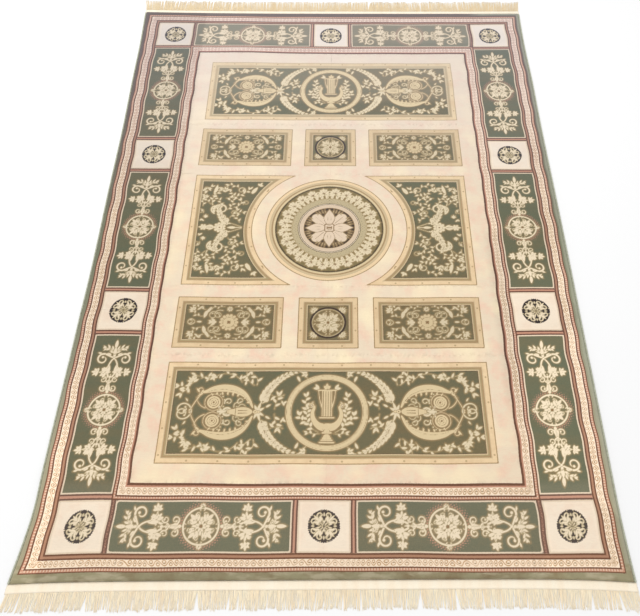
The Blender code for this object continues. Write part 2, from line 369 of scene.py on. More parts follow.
@dataclass(frozen=True)
class Ornament:
    """The figures of the rug, each drawn about its own middle, in millimetres."""

    lattice_radius: float = 45.5
    large_roundel: float = 1.07

    def lattice(self, radius: float) -> Drawing:
        """The round floral lattice: a star, four axis palmettes and four scrolled ones.

        Args:
            radius: Radius that the lattice fills.

        Returns:
            The drawing.
        """
        pale = Yarn.PALE
        spray = fan(pale, (14, 0), 0, 62, 5, 24, 8.5) + leaf(pale, (20, 0), 0, 19, 10)
        hook = scroll(pale, (27, 8), 5.6, 200, -400, 1.9, 1.4, 2.4, ((13, 1),)).mirrored_along()
        hook += leaf(pale, (10, 0), 0, 13, 7) + leaf(pale, (34, 3), 40, 7, 4).mirrored_along()
        petal = leaf(pale, (4, 0), 0, 11, 6.4).turned(22.5)
        made = hook.repeated(4) + spray.turned(45).repeated(4) + petal.repeated(8)
        return (made + dot(Yarn.SHADE, (0, 0), 3.6)).scaled(radius / 40)

    def candelabra(self) -> Drawing:
        """The scrolled and leafy stem that grows from a cartouche's ring."""
        pale = Yarn.PALE
        half = each(scroll, pale, ((68, 16), 11, -80, -410, 2.9, 1.8, 3.6, ((92, 3), (80, 3))),
            ((95, 18), 9.5, 10, -380, 2.8, 1.7, 3.2, ((116, 14), (110, 22))))
        half += each(leaf, pale, ((60, 2), 28, 14, 7), ((84, 3), 38, 13, 6))
        half += stem(pale, curl((104, 6), 24, 36, 20), 3.4, 3)
        half += fan(pale, (117, 18), 42, 118, 7, 23, 11) + leaf(pale, (112, 12), -4, 32, 12)
        half += swell(pale, [(116, 24, 2.6), (119, 36, 2.4), (120, 46, 3)])
        half += fan(pale, (120, 44), 84, 92, 5, 19, 9.5) + dot(pale, (120, 44), 5.2)
        half += scroll(pale, (163, 35), 18, -30, 395, 3.7, 2.1, 4.6, ((136, -15), (152, -10), (165, 0)))
        half += each(leaf, pale, ((181, 40), 66, 15, 7, 20), ((176, 10), 60, 17, 7))
        half += swell(pale, [(180, 2, 2.4), (192, 8, 2.4), (199, 20, 2.2), (200, 34, 1.4)])
        half += each(leaf, pale, ((184, 4), 66, 18, 7.92), ((192, 7), 18, 18, 7.92),
            ((198, 17), 108, 17, 7.48), ((199, 18), 34, 17, 7.48), ((200, 28), 130, 15, 6.6),
            ((200, 30), 52, 15, 6.6))
        half += dot(pale, (201, 38), 3.4)
        made = half.mirrored_along() + bar(pale, (52, 0), (112, 0), 2.6)
        made += each(leaf, pale, ((172, 0), 0, 34, 12), ((200, 0), 0, 30, 12))
        made += scroll(pale, (192, 13), 5.5, 20, -380, 2.2, 1.5, 2.6, ((178, 2),)).mirrored_along()
        return made + each(dot, pale, ((104, 0), 5), ((84, 0), 4), ((165, 0), 4.6), ((56, 0), 5.4),
            ((174, 0), 4.8))

    def cartouche(self) -> Drawing:
        """A long border figure: a ringed lattice with a haze of rose about it and a stem each way."""
        made = self.candelabra().mirrored_across()
        made += ring(Yarn.PALE, 47, 3.1) + self.lattice(self.lattice_radius)
        made += fan(Yarn.PALE, (0, 49), 90, 62, 5, 13, 6).mirrored_along()
        haze = each(dot, Yarn.ROSE, ((53.5, 0), 2.3), ((64.5, 0), 1.4))
        haze += dot(Yarn.ROSE, (59, 0), 2).turned(4.1)
        return haze.repeated(44) + made

    def roundel(self) -> Drawing:
        """A dark disc with a thin pale lattice of scrolls and sprays, for the border's squares."""
        pale = Yarn.PALE
        axis = scroll(pale, (27, 10.5), 9.2, 215, -390, 2.5, 1.8, 2.8, ((11, 2.6),)).mirrored_along()
        axis += leaf(pale, (24, 0), 0, 12, 5) + dot(pale, (39, 9), 1.9).mirrored_along()
        spray = fan(pale, (13, 0), 0, 44, 3, 29, 7.4) + bar(pale, (4, 0), (14, 0), 2.2, 1.8)
        made = dot(Yarn.INK, (0, 0), 41.2) + dot(Yarn.INK, (41.4, 0), 1.8).repeated(44)
        made += axis.repeated(4) + spray.turned(45).repeated(4)
        return made + leaf(pale, (5, 0), 0, 9, 4.4).repeated(8)

    def lyre(self) -> Drawing:
        """A stringed instrument on a stepped foot between sprigs, inside a broad plain ring."""
        gold, pale, shade = Yarn.GOLD, Yarn.PALE, Yarn.SHADE
        made = ring(gold, 110, 9) + each(ring, shade, (104.5, 0.7), (115, 0.7))
        half = stem(gold, curl((-24, 66), -88, 58, 18), 2.3, 2.6)
        half += swell(gold, [(0, -47, 13), (-16, -46, 12), (-30, -36, 9.5), (-39, -20, 7.5), (-41, -2, 6),
            (-36, 14, 4.5), (-40, 26, 3)])
        half += volute(gold, (-38, 22), 120, 22, 230, 2, 3, 2, 2.6)
        half += each(leaf, pale, ((-22, 72), 168, 20, 10, 12), ((-24, 72), 120, 19, 10, 6))
        half += each(vine, pale, ((-24, -62), 158, 96, -104, 1, 10, 17, 9, 1.4, 0.2),
            ((-50, -34), 176, 40, -70, 1, 4, 16, 9, 1.3, 0.3),
            ((-52, -6), 118, 56, -44, 1, 5, 16, 9, 1.3, 0.25),
            ((-20, -66), 194, 34, -36, 1, 3, 13, 7, 1.3, 0.35))
        made += half.mirrored_across()
        made += each(bar, gold, *(((x, 66), (x, -14), 2.6) for x in np.linspace(-13, 13, 7)))
        made += each(bar, shade, *(((x, 62), (x, -12), 0.55) for x in np.linspace(-10.8, 10.8, 6)))
        made += each(bar, gold, ((-26, 68), (26, 68), 3), ((-20, -18), (20, -18), 3))
        made += fan(gold, (0, 72), 90, 42, 3, 19, 11) + bar(gold, (0, -60), (0, -72), 9, 7)
        made += each(bar, gold, *(((3 - width, y), (width - 3, y), 3.4) for width, y in ((15, -64),
            (11, -74), (14, -80), (18, -86), (23, -93))))
        made += each(bar, shade, *(((-width, y), (width, y), 0.8) for width, y in ((20, -23), (13, -69),
            (17, -89.5))))
        return made + dot(Yarn.INK, (0, -46), 3.6)

    def wings(self) -> Drawing:
        """The group beside the big panel's ring: plumes, two wings, ringed discs, a bud and scrolls."""
        pale, gold, shade = Yarn.PALE, Yarn.GOLD, Yarn.SHADE
        disc = (328, 28.5)
        half = plume(pale, curl((186, 30), 104, 160, 62, 0.6, 12), 11, 28, 12.5, 5)
        half += each(volute, pale, ((188, 34), 92, 44, 330, 2.4, 3.6, 2.2, 3.4),
            ((74, 113), 168, 34, 150, 1.5, 1.8, 1.2, 3))
        half += leaf(pale, (88, 112), 236, 22, 9, 20) + fan(pale, (200, 0), 108, 40, 3, 34, 9)
        half += swell(gold, [(214, 14, 3.5), (226, 37, 6.5), (244, 57, 9.5), (270, 70, 12), (300, 74, 12.5),
            (330, 70, 10), (352, 62, 6), (372, 57, 3)])
        half += stem(shade, [(226, 33), (244, 53), (270, 66), (300, 71), (330, 67), (352, 59)], 0.9, 0.6)
        half += volute(gold, (368, 56), 10, 40, 300, 2, 3, 2, 4.2)
        half += each(leaf, gold, ((372, 59), 60, 18, 8, -20), ((360, 58), -30, 26, 8, -20))
        half += each(leaf, gold, *((place, heading, 12, 7.5, -30) for place, heading in (((258, 57), -70),
            ((274, 60), -78), ((290, 62), -86), ((306, 62), -94), ((322, 60), -104), ((338, 57), -112),
            ((222, 28), 20), ((232, 43), 10))))
        half += ring(gold, 26, 2.2, disc) + dot(gold, disc, 20.5)
        half += each(ring, shade, (13.5, 1, disc), (7.5, 0.9, disc)) + dot(shade, disc, 3)
        turns = np.radians(np.arange(104, 264, 20))
        beads = np.stack([disc[0] + 31.5 * np.cos(turns), disc[1] + 31.5 * np.sin(turns)], axis=-1)
        half += each(dot, pale, *(((x, max(y, 2.5)), 2.9) for x, y in beads))
        half += each(volute, pale, ((296, 30), 96, 44, 320, 2.6, 2.6, 1.8, 3.2),
            ((256, 26), 50, 40, 320, 2.6, 2.4, 1.6, 3.2), ((300, 0), 100, 58, 330, 2.4, 3.6, 2.2, 3.6),
            ((268, 14), 70, 44, 320, 2.6, 2, 1.4, 2.6), ((236, 18), 60, 40, -300, 2.6, 1.8, 1.4, 2.4))
        half += leaf(pale, (306, 4), 60, 20, 8, 20) + stem(gold, curl((352, 10), 20, 44, 60), 2.6, 2.2)
        half += stem(gold, curl((372, 46), -58, 56, -10), 2.6, 2.4)
        half += volute(pale, (390, 0), 84, 112, -400, 3.2, 2.8, 2.2, 3.6) + leaf(pale, (404, 30), 70, 14, 6,
            -30)
        half += each(vine, pale, ((206, 84), 112, 60, -150, 1.6, 4, 19, 8.5, 1.7, 0.2),
            ((214, 84), 30, 56, 66, 1, 4, 18, 8, 1.6), ((250, 94), 58, 96, -96, 1, 5, 17, 8, 1.5, 0.1),
            ((322, 114), -24, 70, 50, 1, 4, 17, 8, 1.5, 0.1))
        half += each(leaf, pale, ((268, 116), 20, 17, 8), ((240, 84), 100, 16, 7.5))
        half += fan(pale, (394, 92), 62, 84, 6, 25, 9)
        half += each(vine, pale, ((398, 92), -76, 48, 50, 1, 4, 18, 8.5, 1.5, 0.2),
            ((408, 58), 70, 38, -60, 1, 4, 17, 8, 1.5, 0.2),
            ((372, 104), 150, 34, 40, 1, 3, 17, 8, 1.5, 0.3),
            ((124, 52), -30, 46, 70, 1, 3, 19, 8.5, 1.5, 0.2),
            ((150, 8), 96, 44, 20, 1, 4, 19, 8.5, 1.4, 0.2))
        half += each(leaf, pale, ((122, 18), 60, 20, 8.5), ((176, 14), 150, 18, 8))
        half += fan(pale, (60, 122), -10, 60, 4, 20, 9) + leaf(pale, (128, 22), 140, 18, 8)
        made = half.mirrored_along()
        made += swell(gold, [(222, 0, 9), (232, 0, 14), (244, 0, 15.5), (258, 0, 13), (268, 0, 9.5),
            (280, 0, 8)])
        made += each(bar, shade, *(((228, y), (256, y * 0.9), 0.6) for y in (-9, -4.5, 0, 4.5, 9)))
        made += bar(shade, (263, -11), (263, 11), 0.9) + bar(gold, (284, -5), (284, 5), 3)
        made += each(dot, gold, ((206, 0), 7), ((196, 0), 5)) + dot(shade, (206, 0), 2.2)
        return made + leaf(pale, (294, 0), 0, 22, 11) + dot(pale, (412, 0), 3.4)

    def small_panel(self) -> Drawing:
        """A full flower between four spirals, tulip leaves, end scrolls and corner sprays."""
        pale, gold, shade = Yarn.PALE, Yarn.GOLD, Yarn.SHADE
        quarter = each(volute, pale, ((30, 18), 84, 96, -470, 4.2, 2.1, 1.4, 3),
            ((22, 42), 20, 84, -430, 3.6, 2, 1.4, 3.2))
        quarter += each(leaf, pale, ((58, 50), -40, 26, 11, -30), ((72, 40), -80, 28, 13, 10))
        quarter += each(vine, pale, ((74, 44), 8, 60, 60, 1.5, 6, 14, 7, 1.4, 0.15),
            ((84, 20), -6, 40, 80, 1, 4, 12, 6.5, 1.3, 0.25))
        quarter += volute(pale, (106, 2), 62, 58, -400, 3.2, 2, 1.4, 2.8)
        quarter += fan(pale, (112, 40), 42, 62, 5, 22, 8)
        quarter += each(leaf, pale, ((96, 50), 150, 16, 7), ((42, 4), 30, 18, 8), ((50, 3), 10, 16, 7))
        quarter += vine(pale, (16, 56), 0, 40, -10, 1, 4, 10, 6, 1.2, 0.2)
        made = quarter.mirrored_along().mirrored_across() + bloom(gold, 34, 14) + ring(shade, 18, 0.7)
        made += bar(shade, (19, 0), (27, 0), 0.5).turned(13).repeated(14)
        made += leaf(shade, (0, 0), 0, 9, 3).repeated(8) + dot(gold, (0, 0), 2.6)
        made += (bloom(pale, 9.5, 7).moved(0, 48) + dot(shade, (0, 48), 2.6)).mirrored_along()
        return made + each(leaf, pale, ((38, 0), 0, 26, 12), ((84, 0), 0, 18, 8)).mirrored_across()

    def square_panel(self) -> Drawing:
        """A ringed lattice with four corner sprays."""
        corner = fan(Yarn.PALE, (40, 40), 45, 74, 7, 22, 6.5) + dot(Yarn.PALE, (42, 42), 4)
        return (ring(Yarn.INK, 53, 3.4) + ring(Yarn.PALE, 48.5, 1.6) + self.lattice(45)
            + corner.mirrored_along().mirrored_across())

    def arc_panel(self) -> Drawing:
        """The panel beside the medallion: a bud, acanthus scrolls and leafy vines."""
        pale, shade = Yarn.PALE, Yarn.SHADE
        half = stem(pale, curl((298, 3), 22, 44), 1.7, 1.5) + leaf(pale, (334, 16), 16, 16, 6)
        half += plume(pale, curl((348, 16), 44, 74, 40, 1.4, 10), 6, 24, 17, 5)
        half += each(volute, pale, ((350, 22), 150, 40, -300, 2.4, 3.4, 2.2, 4),
            ((398, 66), 84, 128, 450, 4, 4.6, 2, 4.2), ((396, 60), 30, 92, 420, 3.4, 3.2, 1.8, 5),
            ((378, 44), 108, 58, 380, 3, 2.6, 1.6, 4))
        half += leaf(pale, (400, 84), 140, 22, 9, -20)
        half += each(vine, pale, ((404, 96), 70, 96, 110, 1.4, 8, 15, 7.5, 2.2, 0.15),
            ((410, 100), 40, 70, 50, 1, 6, 14, 7, 1.5, 0.2))
        half += each(fan, pale, ((430, 128), 60, 70, 5, 20, 7), ((424, 44), 90, 80, 5, 13, 6))
        half += each(dot, pale, ((424, 44), 5), ((440, 30), 3.5)) + leaf(pale, (428, 26), 40, 18, 7)
        half += each(vine, pale, ((306, 22), 58, 56, 36, 1, 5, 14, 7, 1.4, 0.1),
            ((330, 88), 176, 44, -100, 1, 4, 14, 7, 1.6, 0.1),
            ((352, 78), 140, 60, -70, 1, 6, 14, 7, 1.6, 0.1),
            ((360, 128), 176, 92, -46, 1, 8, 15, 7.5, 1.6, 0.05),
            ((330, 136), 62, 62, -50, 1, 6, 14, 7, 1.4, 0.1))
        half += volute(pale, (300, 150), 130, 74, -400, 3, 2.6, 1.6, 4.4) + leaf(pale, (272, 148), 118, 36,
            15, 10)
        half += volute(pale, (372, 160), 100, 62, -380, 3, 2.2, 1.5, 4)
        half += vine(pale, (320, 176), 40, 40, -40, 1, 4, 13, 7, 1.4, 0.1)
        half += each(leaf, pale, ((404, 150), 112, 42, 13, -20), ((416, 160), 50, 26, 8))
        half += fan(pale, (246, 184), 120, 60, 3, 17, 9)
        half += each(volute, pale, ((434, 62), 112, 62, -420, 2.2, 1.8, 1.3, 3.4),
            ((318, 66), 70, 52, -400, 2.2, 1.6, 1.2, 3), ((298, 100), 62, 54, 400, 2.2, 1.6, 1.2, 3.2))
        half += each(vine, pale, ((438, 92), 98, 50, -60, 1, 5, 14, 6.5, 1.4, 0.15),
            ((340, 44), 122, 52, 60, 1, 5, 14, 6.5, 1.4, 0.15),
            ((378, 92), 104, 50, -80, 1, 5, 14, 6.5, 1.4, 0.15),
            ((440, 150), 100, 40, 60, 1, 4, 14, 6.5, 1.4, 0.15))
        made = half.mirrored_along() + bar(pale, (298, 0), (336, 0), 1.8, 2.6)
        made += leaf(pale, (318, 0), 0, 30, 12) + bloom(pale, 22, 9).moved(372, 0)
        made += ring(shade, 11, 0.7, (372, 0)) + dot(shade, (372, 0), 3)
        made += leaf(pale, (392, 0), 0, 34, 20) + leaf(pale, (392, 0), 34, 22, 9).mirrored_along()
        made += bloom(pale, 12, 6).moved(428, 0) + leaf(pale, (430, 0), 0, 16, 8)
        return made + bar(shade, (396, 0), (416, 0), 0.8, 0.5)

    def medallion(self) -> Drawing:
        """The centre flower of eight petals, its beads and the wreath of lobed leaves."""
        pale, shade = Yarn.PALE, Yarn.SHADE
        big = dot(pale, (157, 0), 15.5) + fan(pale, (146, 0), 0, 110, 9, 31, 11)
        for angle in (-44, -15, 15, 44):
            big += stem(shade, curl((148, 0), angle, 22, 0, 1, 3), 1, 0.5)
        low = leaf(pale, (126, 0), 0, 26, 12) + bar(shade, (129, 0), (144, 0), 0.9, 0.5)
        made = low.turned(360 / 96).repeated(48)
        made += big.turned(360 / 48).repeated(12) + big.turned(-360 / 48).repeated(12)
        for radius, turn in ((107.5, 0), (113, 2.8), (118.5, 0), (124, 2.8)):
            made += dot(Yarn.INK, (radius, 0), 1.3).turned(turn).repeated(64)
        spikes = sum((leaf(Yarn.GOLD, (64, 0), 0, 19, 4).turned(22.5 + turn) for turn in (-11, -4, 4, 11)),
            Drawing())
        made += spikes.repeated(8)
        back = swell(pale, [(20, 0, 8), (34, 0, 15), (48, 0, 19), (60, 0, 17), (68, 0, 8)])
        back += leaf(pale, (44, 9), 12, 30, 15).mirrored_along() + bar(shade, (26, 0), (66, 0), 0.9, 0.6)
        petal = swell(pale, [(14, 0, 7), (26, 0, 14), (42, 0, 18), (54, 0, 15), (67, 0, 7.5), (80, 0, 0.5)])
        edge = swell(shade, [(15, 7, 1.1), (26, 14.5, 1.2), (42, 18.5, 1.2), (54, 15.5, 1.2), (67, 7.8, 1.1),
            (80, 0.5, 1)]) + bar(shade, (30, 6), (56, 4), 0.7, 0.5)
        made += back.turned(45).repeated(4) + petal.repeated(4)
        made += edge.mirrored_along().repeated(4) + dot(pale, (0, 0), 19)
        box = each(bar, shade, ((-14, 15), (14, 15), 1.7), ((-6, 8), (6, 8), 1.1))
        return made + box.repeated(4) + bar(shade, (-6, 0), (6, 0), 3)

    def whole(self) -> Drawing:
        """Every figure in its place on the rug.

        Returns:
            The drawing in pattern coordinates: across and along from the middle.
        """
        made = self.medallion() + self.arc_panel().mirrored_across()
        big_middle, small_middle = sum(BIG_PANEL) / 2, sum(SMALL_PANEL) / 2
        side_middle, end_middle = sum(BAND_SIDES) / 2, sum(BAND_ENDS) / 2
        big, small = self.lyre() + self.wings().mirrored_across(), self.small_panel()
        square = self.square_panel()
        cartouche, roundel = self.cartouche(), self.roundel()
        large = roundel.scaled(self.large_roundel)
        for sign in (-1, 1):
            made += big.moved(0, sign * big_middle) + square.moved(0, sign * small_middle)
            made += (roundel if sign < 0 else large).moved(0, sign * end_middle)
            made += cartouche.turned(90).moved(sign * side_middle, 0)
            for other in (-1, 1):
                made += small.moved(other * (SMALL_START + PANEL_SIDE) / 2, sign * small_middle)
                made += cartouche.moved(other * sum(END_CELLS[1]) / 2, sign * end_middle)
                made += cartouche.turned(90).moved(other * side_middle, sign * sum(SIDE_CELLS[2]) / 2)
                made += large.moved(other * side_middle, sign * sum(SIDE_CELLS[1]) / 2)
                made += (roundel if sign < 0 else large).moved(other * side_middle, sign * end_middle)
        return made


@dataclass
class Chart:
    """How deep each place of a grid lies inside each figure yarn, in millimetres.

    Args:
        across: The grid's places across the rug.
        along: The grid's places along the rug, in the pattern's own measure.
        deepest: The farthest outside that is told apart.
    """

    across: Array
    along: Array
    deepest: float = 4.0
    depth: Array = field(init=False)

    def __post_init__(self) -> None:
        """Start with every place outside every figure."""
        self.depth = np.full((len(Yarn), len(self.along), len(self.across)), -self.deepest)

    def lay(self, drawing: Drawing) -> None:
        """Lay a drawing's strokes on the grid, each over those before it.

        A place's depth in a stroke is the reach there less the distance from the middle line. Inside
        a stroke its own depth counts, so that where leaves overlap the edge of the upper one shows.

        Args:
            drawing: Strokes in the chart's own coordinates.
        """
        for stroke in drawing.strokes:
            margin = stroke.reach.max() + self.deepest
            low, high = stroke.line.min(axis=0) - margin, stroke.line.max(axis=0) + margin
            a0, a1 = np.searchsorted(self.across, (low[0], high[0]))
            b0, b1 = np.searchsorted(self.along, (low[1], high[1]))
            if a0 >= a1 or b0 >= b1:
                continue
            x = self.across[a0:a1][None, :, None]
            y = self.along[b0:b1][:, None, None]
            start, step = stroke.line[:-1], np.diff(stroke.line, axis=0)
            size = np.maximum((step**2).sum(axis=1), 1e-9)
            share = ((x - start[:, 0]) * step[:, 0] + (y - start[:, 1]) * step[:, 1]) / size
            share = np.clip(share, 0.0, 1.0)
            off = np.hypot(x - start[:, 0] - share * step[:, 0], y - start[:, 1] - share * step[:, 1])
            inside = (stroke.reach[:-1] + share * np.diff(stroke.reach) - off).max(axis=2)
            block = self.depth[stroke.yarn.value, b0:b1, a0:a1]
            block[...] = np.where(inside > 0.0, inside, np.maximum(block, inside))


def depth_in(x: Array, y: Array, *boxes: Table) -> Array:
    """How far places lie inside the nearest box of low x, high x, low y and high y, negative outside."""
    return np.maximum.reduce([np.minimum.reduce([x - a, b - x, y - c, d - y]) for a, b, c, d in boxes])


@dataclass(frozen=True)
class Layout:
    """The measures that tell every place of the rug which stripe, cell or panel it belongs to."""

    farthest: float = -40.0

    def stripe(self, x: Array, p: Array) -> Array:
        """Distance of a place's stripe from the middle, as measured on the long sides."""
        return np.maximum(np.abs(x), np.interp(np.abs(p), STRIPE_ENDS, STRIPE_SIDES))

    def run(self, x: Array, p: Array) -> Array:
        """Distance along the border from the middle of its own side or end."""
        return np.where(np.abs(x) >= np.interp(np.abs(p), STRIPE_ENDS, STRIPE_SIDES), np.abs(p), np.abs(x))

    def cell(self, x: Array, p: Array) -> tuple[Array, Array]:
        """How far places lie inside the border's cells, and whether the cell is a plain square.

        Args:
            x: Places across.
            p: Places along.

        Returns:
            Depth inside the nearest cell, and 1 for squares or 0 for cartouches.
        """
        ax, ap = np.abs(x), np.abs(p)
        long_depth = depth_in(ax, ap, (*BAND_SIDES, *SIDE_CELLS[0]), (*BAND_SIDES, *SIDE_CELLS[2]),
                              (*END_CELLS[1], *BAND_ENDS))
        square_depth = depth_in(ax, ap, (*BAND_SIDES, *SIDE_CELLS[1]), (*END_CELLS[0], *BAND_ENDS),
                                (*BAND_SIDES, *BAND_ENDS))
        depth = np.maximum(np.maximum(long_depth, square_depth), self.farthest)
        return depth, np.where(square_depth > long_depth, 1.0, 0.0)

    def panel(self, x: Array, p: Array) -> Array:
        """How far places lie inside the field's framed panels, negative outside.

        Args:
            x: Places across.
            p: Places along.

        Returns:
            The depths.
        """
        ax, ap = np.abs(x), np.abs(p)
        centre = np.minimum(depth_in(ax, ap, (0.0, PANEL_SIDE, -CENTRE_REACH, CENTRE_REACH)),
                            np.hypot(x, p) - ARC_RADIUS)
        framed = depth_in(ax, ap, (-PANEL_SIDE, PANEL_SIDE, *BIG_PANEL),
                          (SMALL_START, PANEL_SIDE, *SMALL_PANEL), (-SQUARE_SIDE, SQUARE_SIDE, *SMALL_PANEL))
        return np.maximum(np.maximum(framed, centre), self.farthest)


# ---- how the cloth lies


def smooth_line(along: Array, places: Table, values: Table) -> Array:
    """A smooth line through values at places: cubic pieces whose slopes are those of the chords.

    Args:
        along: Where the line is asked for.
        places: The places in rising order.
        values: The values there.

    Returns:
        The line's values.
    """
    at, heights = np.array(places), np.array(values)
    cell = np.clip(np.searchsorted(at, along) - 1, 0, len(at) - 2)
    span = at[cell + 1] - at[cell]
    slopes = np.gradient(heights, at)
    return cubic(np.clip((along - at[cell]) / span, 0.0, 1.0), heights[cell], heights[cell + 1],
                 span * slopes[cell], span * slopes[cell + 1])


@dataclass(frozen=True)
class Lie:
    """How the flat plan of the rug is carried to where the cloth really lies, in metres."""

    step: Table = (0.0, 0.0, 0.0)
    edge_places: Table = (-1.220, -1.140, -1.070, -0.990, -0.750, -0.450, -0.150, 0.150, 0.450, 0.750,
                          0.950, 1.140, 1.230)
    left_shifts: Table = (-0.016, -0.012, -0.002, 0.008, 0.0105, 0.013, 0.0145, 0.011, 0.0095, 0.0025,
                          -0.001, -0.009, -0.012)
    right_shifts: Table = (0.003, 0.000, -0.003, -0.005, -0.003, -0.001, 0.002, 0.003, 0.003, 0.006,
                           0.005, 0.010, 0.014)
    edge_power: int = 3
    front_left_pull: float = -0.006
    front_right_pull: float = -0.010
    back_left_pull: float = 0.009
    back_right_pull: float = 0.003
    pull_power: int = 6
    back_pull_power: int = 3
    ripples: tuple[Table, ...] = (
        (-0.60, -0.86, 0.36, 0.090, 0.0060),
        (-0.66, -0.34, 0.24, 0.100, 0.0030),
        (0.62, -0.56, 0.28, 0.090, 0.0030),
        (-0.36, 0.88, 0.32, 0.095, 0.0050),
        (0.50, 0.70, 0.36, 0.110, 0.0050),
        (0.24, 1.00, 0.34, 0.080, 0.0030),
    )
    drift_places: Table = (-786, -700, -500, -300, -100, 100, 300, 500, 700, 791)
    drift_across: Table = (0, 3.5, -2, -0.5, 0, 2.5, 3, 5, 2.5, 0)
    drift_along: Table = (2, 2.5, 1, -1.8, -3.2, -4, -4.3, -3.8, -3, -3)
    slip_across: Table = (1.5, 2, -0.8, -2.4, -3.6, -3.7, -3.2, 0.4, 0.2, 0)
    slip_along: Table = (-2, -2, -1.3, 0.4, 1.2, 1.8, 0, -2.4, 0.2, 0)
    end_places: Table = (-1120, -1030, -950, -800, -450, 0, 700, 860, 1000, 1090, 1130)
    end_drift: Table = (-2, 0, 3.6, 1.4, 1.4, -0.5, 0.2, 1.4, -5.6, 2.4, 2.4)
    end_zone: Place = (850, 110)
    side_zone: Place = (480, 60)
    waver: float = 1.1
    end_hold: float = 22.0
    side_hold: float = 16.0
    weave_start: float = -7.16
    weave_growth: float = 10.74
    weave_length: float = 1073.5

    def lift(self, x: Array, y: Array) -> Array:
        """Height that the low ripples give: a squared cosine each way.

        Args:
            x: Places across.
            y: Places along.

        Returns:
            The heights.
        """
        total = np.zeros(np.broadcast(x, y).shape)
        for middle_x, middle_y, reach_x, reach_y, height in self.ripples:
            across = np.clip(np.abs(x - middle_x) / reach_x, 0.0, 1.0)
            along = np.clip(np.abs(y - middle_y) / reach_y, 0.0, 1.0)
            total = total + height * (np.cos(across * math.pi / 2) * np.cos(along * math.pi / 2)) ** 2
        return total

    def plan(self, x: Array, y: Array) -> tuple[Array, Array, Array]:
        """Carry places on the flat plan to where the cloth lies, before the rug is centred.

        Args:
            x: Places across.
            y: Places along.

        Returns:
            X, Y and the lift off the floor.
        """
        x, y = np.broadcast_arrays(np.asarray(x, dtype=float), np.asarray(y, dtype=float))
        left, right = np.clip(x / CLOTH_LEFT, 0.0, None), np.clip(x / CLOTH_RIGHT, 0.0, None)
        shifted_x = (x + smooth_line(y, self.edge_places, self.left_shifts) * left**self.edge_power
                     + smooth_line(y, self.edge_places, self.right_shifts) * right**self.edge_power)
        power, back_power = self.pull_power, self.back_pull_power
        front = self.front_left_pull * left**power + self.front_right_pull * right**power
        back = self.back_left_pull * left**back_power + self.back_right_pull * right**back_power
        front_share = np.clip(y / CLOTH_FRONT, 0.0, 1.0) ** power
        back_share = np.clip(y / CLOTH_BACK, 0.0, 1.0) ** power
        return shifted_x, y + front * front_share + back * back_share, self.lift(x, y)

    def centred(self) -> Lie:
        """This lie with the step that brings it over the frame's cloth, found from the low corners."""
        low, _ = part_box("pile_cloth")
        along, across = np.linspace(CLOTH_FRONT, CLOTH_BACK, 800), np.linspace(CLOTH_LEFT, CLOTH_RIGHT, 800)
        side_x, _, _ = self.plan(CLOTH_LEFT, along)
        _, end_y, _ = self.plan(across, CLOTH_FRONT)
        return replace(self, step=(low.x - side_x.min(), low.y - end_y.min(), 0.0))

    def centred_rows(self, x: Array, y: Array, z: Array) -> Array:
        """Rows of points that the centring step has been added to."""
        return np.stack(np.broadcast_arrays(x, y, z), axis=-1).reshape(-1, 3) + self.step

    def points(self, x: Array, y: Array, height: Array | float) -> Array:
        """Rows of points for places on the plan at heights over the cloth's underside."""
        lie_x, lie_y, lift = self.plan(x, y)
        return self.centred_rows(lie_x, lie_y, lift + height)

    def woven(self, x: Array, p: Array) -> tuple[Array, Array]:
        """Carry places of the pattern to the flat plan, with the weave's small drifts.

        The drifts follow smooth lines across and along the rug and die out at its rim. The long
        borders waver by the sum of two sines of the place along, and the cross lines by a sine of
        the place across.

        Args:
            x: Places across the pattern, in millimetres.
            p: Places along it, in millimetres.

        Returns:
            Places across and along the plan, in metres.
        """
        y = self.to_plan(p)
        hold = np.clip(np.minimum(y - CLOTH_FRONT, CLOTH_BACK - y) / MM / self.end_hold, 0.0, 1.0)
        near_end = np.clip((np.abs(p) - self.end_zone[0]) / self.end_zone[1], 0.0, 1.0)
        near_side = np.clip((np.abs(x) - self.side_zone[0]) / self.side_zone[1], 0.0, 1.0)
        sideways, forward, slip, slip_forward = (smooth_line(x, self.drift_places, values) for values in (
            self.drift_across, self.drift_along, self.slip_across, self.slip_along))
        forward = (forward + smooth_line(p, self.end_places, self.end_drift)
                   + near_end * np.where(p < 0.0, slip_forward, 0.0)
                   + self.waver * 0.6 * np.sin(x / 43.0 + p / 300.0))
        sideways = (sideways + near_end * slip
                    + self.waver * near_side * (np.sin(p / 31.0 + x / 400.0) + np.sin(p / 17.3 + 1.0)))
        rim = np.minimum(x * MM - CLOTH_LEFT, CLOTH_RIGHT - x * MM) / MM
        sideways = sideways * np.clip(rim / self.side_hold, 0.0, 1.0)
        return x * MM + sideways * MM, y + forward * hold * MM

    def to_plan(self, pattern: Array) -> Array:
        """Carry places along the pattern, in millimetres, to the plan, in metres.

        The pattern's middle is woven a little nearer the front, and its ends a little apart: the
        shift is a start plus a growth times the fourth power of the share of the half length.
        """
        share = np.abs(pattern) / self.weave_length
        return (pattern + self.weave_start + self.weave_growth * share**4) * MM

    def to_pattern(self, along: Array) -> Array:
        """Carry places along the plan, in metres, to the pattern, in millimetres."""
        table = np.linspace(-1200.0, 1200.0, 4801)
        return np.interp(along, self.to_plan(table), table)


# ---- meshes


def put(name: str, data: bpy.types.ID) -> Piece:
    """Put a mesh, a lamp or a camera into the scene as an object."""
    made = bpy.data.objects.new(name, data)
    bpy.context.scene.collection.objects.link(made)
    return made


